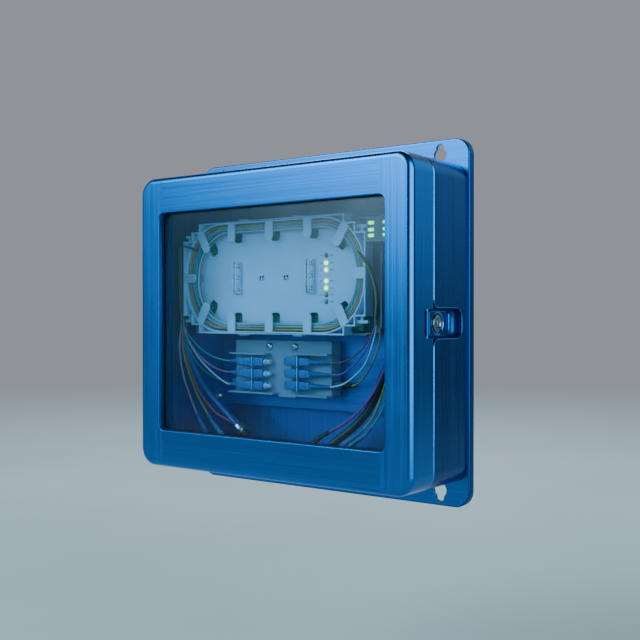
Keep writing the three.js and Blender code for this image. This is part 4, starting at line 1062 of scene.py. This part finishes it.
for k, z in enumerate(ROWS_L, 1):
    a1 = box("ad", -58.0, -44.6, -42.0, -34.3, z - 3.9, z + 3.9, M_SC2, 0.45, 2)
    # the thin white strip on the flange edge is a painted highlight
    a2 = join("fl", [box("fl", -57.6, -56.3, -43.25, -34.3, z - 5.1, z + 5.1, M_SC2, 0.3, 2), box("fe", -57.2, -56.6, -43.4, -43.1, z - 4.9, z + 4.9, M_FLANGE, 0.1, 1)])
    rib = [box("rb", -55.5, -47.0, -42.3, -41.8, z + dz - 0.35, z + dz + 0.35, M_SC2, 0.15, 1) for dz in (-2.4, 2.4)]
    carve(a1, [slab("so", circ(-38.1, z, 2.6, 28), -52, -40, "X", M_SC2)])
    lip = turned("lp", [(2.6, 0), (3.1, 0), (3.1, 0.4), (2.6, 0.4), (2.6, 0)], (-44.75, -38.1, z), (1, 0, 0), M_SC2, 32)
    add(join("coupler_left_%d" % k, [a1, a2, lip] + rib), "body", ["adapter_left_%d" % k], "connector_blue")
    b1 = housing("pl", -70.0, -59.5, z, 3.5, 3.6, M_SC)
    b2 = housing("pk", -76.4, -69.6, z, 3.1, 3.2, M_SC)
    grips = [box("g", xg, xg + 0.7, -41.75, -34.5, z - 3.75, z + 3.75, M_SC, 0.15, 1) for xg in (-68.6, -66.9, -65.2)]
    win = box("w", -63.4, -61.2, -41.7, -41.2, z - 1.2, z + 1.2, M_SC2, 0.1, 1)
    prof = [(0, 0), (2.6, 0)]
    for i in range(4):
        prof += [(2.6 - 0.28 * i, 0.6 + 2.4 * i), (2.6 - 0.28 * i, 1.9 + 2.4 * i), (2.0 - 0.24 * i, 2.0 + 2.4 * i), (1.95 - 0.24 * i, 2.9 + 2.4 * i)]
    prof += [(1.2, 11.0), (0, 11.0)]
    boot = turned("bt", prof, (-76.2, -38.1, z), (-1, 0, 0), M_BOOT, 24)
    add(join("connector_left_%d" % k, [b1, b2, win, boot] + grips), "body", ["plug_left_%d" % k], "connector_blue")
    cap = turned("cap", [(0, 0), (2.35, 0), (2.35, 6.8), (2.9, 7.0), (3.15, 7.5), (3.15, 8.6), (2.9, 9.1), (2.1, 9.4), (1.75, 9.9), (1.75, 10.6), (2.1, 11.2), (2.5, 11.8), (2.6, 12.6), (2.4, 13.4), (1.9, 13.9), (1.2, 14.1), (0, 14.15)], (-51.4, -38.1, z), (1, 0, 0), M_CAPW, 36, 40)
    add(cap, "cap_%d" % k, ["dust_cap_%d" % k], "cap_plastic")

for k, z in enumerate(ROWS_R, 1):
    a1 = box("ad", -18.2, -5.3, -42.0, -34.3, z - 3.9, z + 3.9, M_SC2, 0.45, 2)
    # the thin white strip on the flange edge is a painted highlight
    a2 = join("fl", [box("fl", -3.9, -2.6, -43.25, -34.3, z - 5.1, z + 5.1, M_SC2, 0.3, 2), box("fe", -3.5, -2.8, -43.4, -43.1, z - 4.9, z + 4.9, M_FLANGE, 0.1, 1)])
    rib = [box("rb", -16.5, -8.0, -42.3, -41.8, z + dz - 0.35, z + dz + 0.35, M_SC2, 0.15, 1) for dz in (-2.4, 2.4)]
    plug = box("bk", -19.4, -18.0, -41.0, -35.2, z - 2.6, z + 2.6, M_BOOTK, 0.3, 1)
    add(join("coupler_right_%d" % k, [a1, a2, plug] + rib), "body", ["adapter_right_%d" % k], "connector_blue")
    b1 = housing("pl", -3.9, 5.2, z, 3.5, 3.6, M_SC)
    b2 = housing("pk", 4.9, 8.6, z, 3.0, 3.1, M_SC)
    grips = [box("g", xg, xg + 0.7, -41.75, -34.5, z - 3.75, z + 3.75, M_SC, 0.15, 1) for xg in (-0.4, 1.2, 2.8)]
    prof = [(0, 0), (2.3, 0)]
    for i in range(8):
        u = 1.6 + i * 2.65
        r = 2.6 - i * 0.16
        prof += [(r - 0.1, u), (r, u + 0.2), (r, u + 1.3), (r - 0.1, u + 1.45), (r - 0.85, u + 1.55), (r - 0.87, u + 2.55)]
    prof += [(0.7, 23.2), (0, 23.2)]
    boot = turned("bt", prof, (8.2, -38.1, z), (1, 0, 0), M_BOOT, 24)
    add(join("connector_right_%d" % k, [b1, b2, boot] + grips), "body", ["plug_right_%d" % k], "connector_blue")

# the fourth pair plugs in behind the bracket, one from each side
rb = [housing("rp", -91.5, -84.1, -57.4, 3.0, 3.0, M_SC, yc=-28.6), turned("bt", [(0, 0), (2.2, 0), (2.2, 1), (1.7, 1.2), (1.6, 2.2), (1.9, 2.4), (1.8, 3.6), (1.3, 3.8), (0.9, 8), (0, 8)], (-91.2, -28.6, -57.4), (-1, 0, 0), M_BOOTK, 20)]
add(join("rear_connector_left", rb), "body", slot="connector_blue")
rb = [housing("rp", 29.1, 38.6, -55.8, 3.2, 3.2, FIB["navy"], yc=-28.6), turned("bt", [(0, 0), (2.5, 0), (2.5, 1.2), (1.9, 1.4), (1.8, 2.6), (2.2, 2.8), (2.1, 4.2), (1.6, 4.4), (1.2, 8.6), (0, 8.6)], (38.4, -28.6, -55.8), (1, 0, 0), M_BOOTK, 20)]
add(join("rear_connector_right", rb), "body", slot="plug_black")


# ------------------------------------------------------------------ fibres, each one its own strand
def loop_path(x0, x1, z0, z1, R, y, seed, amp, yamp):
    rnd = random.Random(seed)
    ph = [rnd.uniform(0, 6.283) for _ in range(6)]
    cs = ((x1 - R, z1 - R, 0), (x0 + R, z1 - R, 1), (x0 + R, z0 + R, 2), (x1 - R, z0 + R, 3))
    pts = []
    for k, (cx, cz, q) in enumerate(cs):
        for i in range(15):
            a = (q + i / 14) * math.pi / 2
            pts.append((cx + R * math.cos(a), cz + R * math.sin(a), math.cos(a), math.sin(a)))
        nx = cs[(k + 1) % 4]
        a = (q + 1) * math.pi / 2
        ex, ez = nx[0] + R * math.cos(a), nx[1] + R * math.sin(a)
        sx, sz = pts[-1][:2]
        m = max(2, int(math.hypot(ex - sx, ez - sz) / 7))
        for j in range(1, m):
            pts.append((sx + (ex - sx) * j / m, sz + (ez - sz) * j / m, math.cos(a), math.sin(a)))
    out = []
    m = len(pts)
    for i, (x, z, cx, cz) in enumerate(pts):
        u = i / m * 2 * math.pi
        o = amp * (0.5 * math.sin(2 * u + ph[0]) + 0.35 * math.sin(3 * u + ph[1]) + 0.25 * math.sin(5 * u + ph[2]))
        yy = y + yamp * (0.6 * math.sin(2 * u + ph[3]) + 0.4 * math.sin(3 * u + ph[4]))
        out.append((x + cx * o, yy, z + cz * o))
    return out


LOOPS = ("grey", "brown", "yellow", "grey", "orange", "rose", "gold", "red", "grey", "navy", "sky", "teal", "rose", "grey", "pearl", "grey")
for i, c in enumerate(LOOPS):
    f = i / (len(LOOPS) - 1)
    dl, dr, dt, db = 0.2 + 14.2 * f, 0.9 + 7.4 * f, 0.9 + 6.2 * f, 0.9 + 5.8 * f
    R = 42.5 - 3.0 * f
    y = (-46.6, -48.6, -50.6)[i % 3] - 0.3 * (i % 2)
    path = loop_path(-131.2 + dl, 75.4 - dr, -7.6 + db, 90.4 - dt, R, y, 40 + i, 0.55 if 0 < i < 15 else 0.2, 0.35)
    o = tube("tray_fibre_%02d" % (i + 1), path, 0.72, [FIB[c]], sides=8, closed=True, smooth_path=False)
    add(o, "body", ["fibre_loop"] if i == 0 else (), "fibre_mix")


def along(points, dx, dy, n):
    """The first n points of a route moved aside, so that strands in one bundle lie beside each other."""
    return [(x + dx, y + dy, z) if i < n else (x, y, z) for i, (x, y, z) in enumerate(points)]


LEFT_IN = [(-118.0, -50.2, 68), (-125.0, -54.0, 71.2), (-131.5, -56.4, 73.0), (-136.8, -55.4, 71.0), (-139.6, -52.6, 62), (-141.2, -50.8, 44), (-140.8, -50.8, 21.2), (-138.4, -51, 1)]
LEFT = (
    ("teal", 0.72, [(-136.9, -51, -5), (-127.3, -48.4, -18.1), (-115.6, -45.8, -28), (-103.9, -42.6, -34), (-91.3, -38.4, -36.9), (-86.2, -38.1, -36.9)]),
    ("pink", 0.72, [(-136.6, -51.4, -5), (-134.0, -51.6, -11.8), (-126.3, -49.4, -24.4), (-115.1, -46.4, -36.3), (-103.7, -42.8, -43.9), (-91.3, -38.4, -47.8), (-86.2, -38.1, -47.8)]),
    ("white", 0.72, [(-137.2, -50.4, -6), (-134.2, -50.0, -14.8), (-125.6, -47.4, -29.8), (-113.0, -44.8, -43.0), (-101.6, -41.6, -52.5), (-91.3, -38.4, -58.9), (-86.2, -38.1, -58.9)]),
    ("green", 0.72, [(-138.4, -50.2, -6), (-135.9, -49.0, -17.0), (-131.0, -45.6, -32.2), (-123.0, -41.6, -44.3), (-112.8, -36.8, -52.9), (-104.6, -31.6, -56.6), (-98.6, -28.7, -57.4)]))
for i, (c, r, pts) in enumerate(LEFT):
    th = i * math.pi / 2 + 0.6
    path = along(LEFT_IN, 1.15 * math.cos(th), 1.15 * math.sin(th), 9) + pts
    up = tube("up", path[:9], r, [FIB[("umber", "olive", "umber", "bark")[i]]], sides=8, per=7)
    down = tube("down", path[7:], r, [FIB[c]], sides=8, per=7)
    add(join("pigtail_left_%d" % (i + 1), [down, up]), "body", ["pigtails_left"] if i == 0 else (), "lead_teal")

LOW_IN = [(-132.2, -35.5, 66), (-136.6, -37.5, 60), (-141.2, -41.5, 44), (-143.4, -44.2, 22), (-143.8, -45.4, 4)]
LOWL = (
    ("pink", 0.95, [(-144.4, -47.4, -6), (-145.4, -48.6, -24.6), (-140.8, -48.4, -50.8), (-134.2, -47.6, -68), (-126.6, -46.9, -84), (-119.8, -46.5, -95.8)], (-0.6, -1.6), 1.0),
    ("yellow", 0.95, [(-142.0, -47.6, -8), (-139.6, -49.0, -28.9), (-132.2, -48.6, -49.6), (-122.3, -47.8, -70), (-112.4, -47.0, -84.0), (-103.4, -46.4, -95.6)], (1.4, -1.4), 1.0),
    ("red", 0.95, [(-141.6, -46.6, -8), (-139.0, -49.2, -20.0), (-131.6, -50.4, -40.0), (-120.0, -51.0, -61.5), (-106.6, -51.4, -76.0), (-93.4, -51.0, -86.6), (-80.4, -48.8, -92.6), (-74.5, -47.4, -95.2)], (1.0, 1.4), 1.0),
    ("blue", 2.45, [(-141.6, -43.6, -6), (-136.6, -47.6, -24.4), (-124.3, -47.6, -47.5), (-108.5, -47.2, -66.7), (-90.7, -47.0, -81.2), (-77.5, -46.9, -91.2), (-70.4, -46.8, -96.8)], (-0.3, 3.4), 1.0))
for i, (c, r, pts, (dx, dy), _) in enumerate(LOWL):
    path = [(x + dx * 0.8, y + dy, z) for x, y, z in LOW_IN] + pts
    add(tube("riser_left_%d" % (i + 1), path, r, [FIB[c]], sides=12 if r > 2 else 8, per=7), "body", ["riser_leads_left"] if i == 0 else (), "lead_red" if i != 3 else "connector_blue")

RIGHT_IN = [(69.0, -50.0, 60), (74.0, -54.2, 57.0), (77.8, -56.2, 54.0), (81.2, -55.4, 50.0), (83.8, -52.8, 43), (86.8, -51.0, 32), (88.7, -50.8, 18.1), (87.2, -49.8, 3)]
RIGHT = (
    ("brown", 0.72, [(85.4, -48.7, -2.4), (75.1, -44.8, -14.5), (64.8, -41.8, -24.6), (52.5, -39.8, -31.3), (41.7, -38.1, -35), (30.6, -38.1, -35.6)]),
    ("violet", 0.72, [(85.0, -49.0, -3.0), (76.5, -45.4, -17.6), (66.5, -42.4, -29.0), (54.4, -39.8, -38.5), (42.7, -38.1, -45), (30.6, -38.1, -46.4)]),
    ("white", 0.78, [(85.6, -48.2, -4.0), (78.6, -44.4, -20.7), (68.7, -41.2, -36.5), (56.2, -39.2, -47), (43.7, -38.1, -54.1), (30.6, -38.1, -57.2)]),
    ("yellow", 0.78, [(88.2, -47.0, -3.0), (85.4, -42.8, -16.3), (78.3, -39.6, -30.3), (67.8, -35.4, -43.0), (57.3, -31.0, -51.6), (50.5, -28.8, -55.0), (46.6, -28.6, -55.8)]))
for i, (c, r, pts) in enumerate(RIGHT):
    th = i * math.pi / 2 + 0.3
    path = along(RIGHT_IN, 1.2 * math.cos(th), 1.2 * math.sin(th), 9) + pts
    up = tube("up", path[:9], r, [FIB[("umber", "bark", "olive", "umber")[i]]], sides=8, per=7)
    down = tube("down", path[7:], r, [FIB[c]], sides=8, per=7)
    add(join("pigtail_right_%d" % (i + 1), [down, up]), "body", ["pigtails_right"] if i == 0 else (), "lead_violet")

LOWR = (
    ("magenta", 1.25, [(104.5, -39.0, 40), (103.0, -39.0, 5), (98.0, -39.4, -19), (92.6, -39.8, -31), (86.8, -40.2, -43.3), (82.2, -40.6, -52.8), (73.6, -41.0, -65.6), (62.2, -41.5, -77.0), (47.4, -42.0, -88.4), (32.0, -42.0, -96.4)]),
    ("black", 3.55, [(107.5, -33.4, 42), (106.0, -33.4, 6), (98.4, -33.6, -20), (91.0, -33.8, -32), (84.0, -34.0, -44.8), (77.4, -35.2, -61.8), (68.8, -36.6, -76.7), (57.5, -38.2, -89.2), (46.0, -40.0, -98.4), (36.8, -42.4, -106.0), (31.2, -45.0, -113.5), (30.4, -46.0, -118.0)]),
    ("yellow", 0.95, [(112.0, -36.5, 38), (110.0, -36.5, 4), (103.0, -36.6, -20), (94.0, -36.8, -38), (86.6, -37.0, -54.0), (82.6, -37.4, -66.2), (76.6, -38.0, -79.0), (68.8, -39.2, -89.5), (60.2, -40.2, -97.6)]),
    ("teal", 0.95, [(114.6, -34.0, 36), (113.0, -34.0, 2), (106.4, -34.0, -24), (96.0, -34.4, -46), (88.6, -35.0, -64.0), (82.2, -36.4, -77.4), (75.2, -38.2, -88.6), (68.4, -39.6, -96.6)]))
for i, (c, r, pts) in enumerate(LOWR):
    add(tube("riser_right_%d" % (i + 1), pts, r, [FIB[c]], sides=14 if r > 2 else 8, per=7), "body", ["riser_leads_right"] if i == 0 else (), "lead_magenta" if i == 0 else "port_black")


# ------------------------------------------------------------------ lower connectors and their bend-relief boots
def ribbed(base, tip, n):
    def f(t):
        r = base + (tip - base) * t
        if 0.12 < t < 0.9:
            ph = (t * n) % 1.0
            r -= 0.22 * r if ph > 0.62 else 0.0
        return r
    return f


def boot(name, path, base, tip, mat, n=7):
    return tube(name, path, base, [mat], sides=18, per=10, radii=ribbed(base, tip, n))


def nose(px, mat, z0=-123.4, z1=-116.6):
    return box("ns", px - 3.9, px + 3.9, PORT_Y - 3.9, PORT_Y + 3.9, z0, z1, mat, 0.5, 2)


b = [nose(PORT_X[0], M_SC), boot("b", [(PORT_X[0], -46, -117.0), (-108.6, -46.0, -111.5), (-113.6, -46.2, -104.0), (-119.9, -46.5, -95.6), (-124.0, -46.8, -88.6)], 3.4, 1.35, M_BOOT)]
add(join("lower_connector_1", b), "body", ["lower_plug_1"], "connector_blue")
b = [nose(PORT_X[1], M_SC), boot("b", [(PORT_X[1], -46, -117.0), (-86.0, -46.0, -111.5), (-94.0, -46.2, -104.4), (-103.6, -46.4, -95.4), (-109.0, -46.8, -88.2)], 3.4, 1.35, M_BOOT)]
add(join("lower_connector_2", b), "body", ["lower_plug_2"], "connector_blue")
b = [nose(PORT_X[2], M_BOOTK), boot("b", [(PORT_X[2], -46, -117.0), (15.0, -45.2, -110.4), (20.4, -43.4, -103.2), (32.2, -42.0, -96.3)], 3.9, 1.7, M_BOOTK, 8),
     turned("co", [(0, 0), (4.5, 0), (4.7, 0.4), (4.7, 3.4), (4.5, 3.8), (0, 3.8)], (PORT_X[2], -46, -117.6), (0.0, 0.05, 1), M_STEEL, 32)]
add(join("lower_connector_3", b), "body", ["lower_plug_3"], "plug_black")
b = [box("ns", 44.2, 51.8, PORT_Y - 3.9, PORT_Y + 3.9, -123.4, -117.2, M_SC, 0.5, 2), box("dx", 42.6, 57.4, PORT_Y - 3.4, PORT_Y + 3.4, -117.6, -111.6, M_SC, 0.6, 2),
     boot("b1", [(46.4, -46, -112.0), (48.0, -44.8, -107.6), (53.0, -42.2, -102.4), (60.6, -40.2, -97.2), (66.8, -39.5, -91.4)], 2.9, 1.25, M_BOOT, 6),
     boot("b2", [(53.6, -46, -112.0), (55.6, -44.6, -107.2), (61.4, -41.6, -101.8), (68.8, -39.5, -96.2), (74.4, -38.4, -89.6)], 2.9, 1.25, M_BOOT, 6)]
add(join("lower_connector_4", b), "body", ["lower_plug_4"], "connector_blue")
# thick cable on the right: collar where it enters the block
c = turned("cable_collar_right", [(3.7, 0), (5.6, 0), (5.8, 0.5), (5.8, 3.2), (5.2, 4.4), (4.3, 5.6), (3.75, 6.0), (3.7, 0)], (30.4, -46, -118.2), (0, 0, 1), M_BOOTK, 32)
add(c, "body", slot="port_black")
# metal-nosed connector on the thick blue cable, with its gland on the floor
d0, d1 = Vector((-77.8, -46.9, -91.0)), Vector((-58.6, -46.4, -106.8))
ax = (d1 - d0).normalized()
b = [turned("s1", [(0, 0), (2.9, 0), (3.1, 0.4), (3.4, 7.5), (3.9, 8.2), (3.9, 9.6), (0, 9.6)], d0, ax, FIB["navy"], 32),
     turned("s2", [(0, 0), (4.2, 0), (4.4, 0.4), (4.4, 7.2), (4.2, 7.6), (3.7, 7.7), (3.7, 9.0), (0, 9.0)], d0 + ax * 9.2, ax, M_STEEL, 36),
     turned("s3", [(0, 0), (4.0, 0), (4.2, 0.5), (4.2, 5.6), (3.9, 6.2), (0, 6.2)], d0 + ax * 17.6, ax, M_BOOTK, 32),
     tube("s4", [tuple(d0 + ax * 22.6), (-57.0, -46.2, -110.4), (-54.6, -46.0, -116.0), (-54.2, -46.0, -122.0)], 3.2, [M_BOOTK], sides=20)]
add(join("metal_connector_left", b), "body", slot="module_metal")
g = [turned("g1", [(3.3, 0), (8.0, 0), (8.2, 0.4), (8.2, 2.2), (7.8, 2.6), (3.3, 2.6), (3.3, 0)], (-54.2, -46, -131.25), (0, 0, 1), M_BOOTK, 40),
     loft("g2", [(circ(-54.2, -46, 6.6, 6), -128.7), (circ(-54.2, -46, 7.0, 6), -128.2), (circ(-54.2, -46, 7.0, 6), -123.6), (circ(-54.2, -46, 6.6, 6), -123.1)], "Z", M_BOOTK),
     turned("g3", [(3.3, 0), (5.8, 0), (5.6, 2.2), (4.4, 3.6), (3.3, 3.8), (3.3, 0)], (-54.2, -46, -123.3), (0, 0, 1), M_BOOTK, 36)]
add(join("cable_gland_left", g), "body", slot="port_black")


# ------------------------------------------------------------------ camera, stage, light
def look_at(ob, target):
    d = Vector(target) - ob.location
    ob.rotation_euler = d.to_track_quat("-Z", "Y").to_euler()


cam_d = bpy.data.cameras.new("photo_camera")
cam = bpy.data.objects.new("photo_camera", cam_d)
bpy.context.scene.collection.objects.link(cam)
cam_d.sensor_width = 36.0
cam_d.lens = 54.93
cam.location = (0.5401, -0.7323, 0.0074)
az, el = math.radians(36.885), math.radians(0.3426)
back = Vector((math.sin(az) * math.cos(el), -math.cos(az) * math.cos(el), math.sin(el)))
cam.rotation_euler = (-back).to_track_quat("-Z", "Y").to_euler()
cam_d.clip_start = 0.01
cam_d.clip_end = 50
bpy.context.scene.camera = cam

FLOOR_Z = -0.34
fl = N("floor_pale")
co = fl.coord()
fn = fl.noise(fl.mapped((3, 3, 3), src=co), 1, 4, 0.5)
sep = fl.n("SeparateXYZ")
fl.link(co, sep.inputs[0])
rad = fl.math("SQRT", fl.math("ADD", fl.math("MULTIPLY", sep.outputs[0], sep.outputs[0]), fl.math("MULTIPLY", sep.outputs[1], sep.outputs[1])))
d = fl.n("BsdfDiffuse")
fl.link(fl.mix(fl.ramp(fn, 0, 1, 0.3, 0.7), (0.62, 0.63, 0.64), (0.58, 0.59, 0.60)), d.inputs["Color"])
t = fl.n("BsdfTransparent")
mx = fl.n("MixShader")
fl.link(fl.ramp(rad, 0, 1, 1.0, 4.0), mx.inputs[0])
fl.link(d.outputs[0], mx.inputs[1])
fl.link(t.outputs[0], mx.inputs[2])
fl.link(mx.outputs[0], fl.out.inputs["Surface"])
fverts = [(0, 0, FLOOR_Z / MM)] + [(5000 * math.cos(i / 64 * 2 * math.pi), 5000 * math.sin(i / 64 * 2 * math.pi), FLOOR_Z / MM) for i in range(64)]
floor = obj_from("studio_floor", fverts, [(0, 1 + i, 1 + (i + 1) % 64) for i in range(64)], fl.m, 30)

w = bpy.data.worlds.new("studio")
bpy.context.scene.world = w
w.use_nodes = True
nt = w.node_tree
nt.nodes.clear()
wo = nt.nodes.new("ShaderNodeOutputWorld")
bg = nt.nodes.new("ShaderNodeBackground")
tc = nt.nodes.new("ShaderNodeTexCoord")


def aim(azimuth, elevation):
    """Unit vector; azimuth in degrees from the front (-Y) towards the right (+X)."""
    a, e = math.radians(azimuth), math.radians(elevation)
    return Vector((math.sin(a) * math.cos(e), -math.cos(a) * math.cos(e), math.sin(e)))


def glow(azimuth, elevation, inner, outer_, strength, color):
    """A round soft patch of light in the studio's surround."""
    vd = nt.nodes.new("ShaderNodeVectorMath")
    vd.operation = "DOT_PRODUCT"
    vd.inputs[1].default_value = aim(azimuth, elevation)
    nt.links.new(tc.outputs["Generated"], vd.inputs[0])
    mr = nt.nodes.new("ShaderNodeMapRange")
    mr.interpolation_type = "SMOOTHSTEP"
    mr.inputs["From Min"].default_value = math.cos(math.radians(outer_))
    mr.inputs["From Max"].default_value = math.cos(math.radians(inner))
    nt.links.new(vd.outputs["Value"], mr.inputs["Value"])
    sc = nt.nodes.new("ShaderNodeVectorMath")
    sc.operation = "SCALE"
    sc.inputs[0].default_value = Vector(color) * strength
    nt.links.new(mr.outputs["Result"], sc.inputs["Scale"])
    return sc.outputs[0]


def plus(x, y):
    ad = nt.nodes.new("ShaderNodeVectorMath")
    ad.operation = "ADD"
    nt.links.new(x, ad.inputs[0])
    if isinstance(y, tuple):
        ad.inputs[1].default_value = y
    else:
        nt.links.new(y, ad.inputs[1])
    return ad.outputs[0]


total = plus(glow(-143, 4, 26, 70, 0.30, (0.90, 0.94, 1.0)), (0.022, 0.032, 0.046))
total = plus(total, glow(-27, 28, 9, 29, 5.8, (0.46, 0.82, 1.0)))
total = plus(total, glow(-54, 20, 10, 34, 0.75, (0.30, 0.80, 1.0)))
total = plus(total, glow(68, 6, 24, 40, 4.0, (0.42, 0.86, 1.0)))
total = plus(total, glow(148, 24, 8, 30, 0.85, (0.42, 0.80, 1.0)))
nt.links.new(total, bg.inputs["Color"])
bg.inputs["Strength"].default_value = 1.0
nt.links.new(bg.outputs[0], wo.inputs[0])


def area(name, loc, target, sx, sy, power, color=(1, 1, 1)):
    ld = bpy.data.lights.new(name, "AREA")
    ld.shape = "RECTANGLE"
    ld.size = sx
    ld.size_y = sy
    ld.energy = power
    ld.color = color
    ob = bpy.data.objects.new(name, ld)
    bpy.context.scene.collection.objects.link(ob)
    ob.location = loc
    look_at(ob, target)
    ob.visible_camera = False
    return ob


key = area("key_softbox", aim(-33, 34) * 2.7, (0, -0.05, 0.0), 0.9, 0.7, 7, (0.66, 0.87, 1.0))
area("floor_fill", (-0.9, 1.4, 1.9), (-0.9, 1.0, FLOOR_Z), 2.0, 1.2, 26, (0.96, 0.98, 1.0))
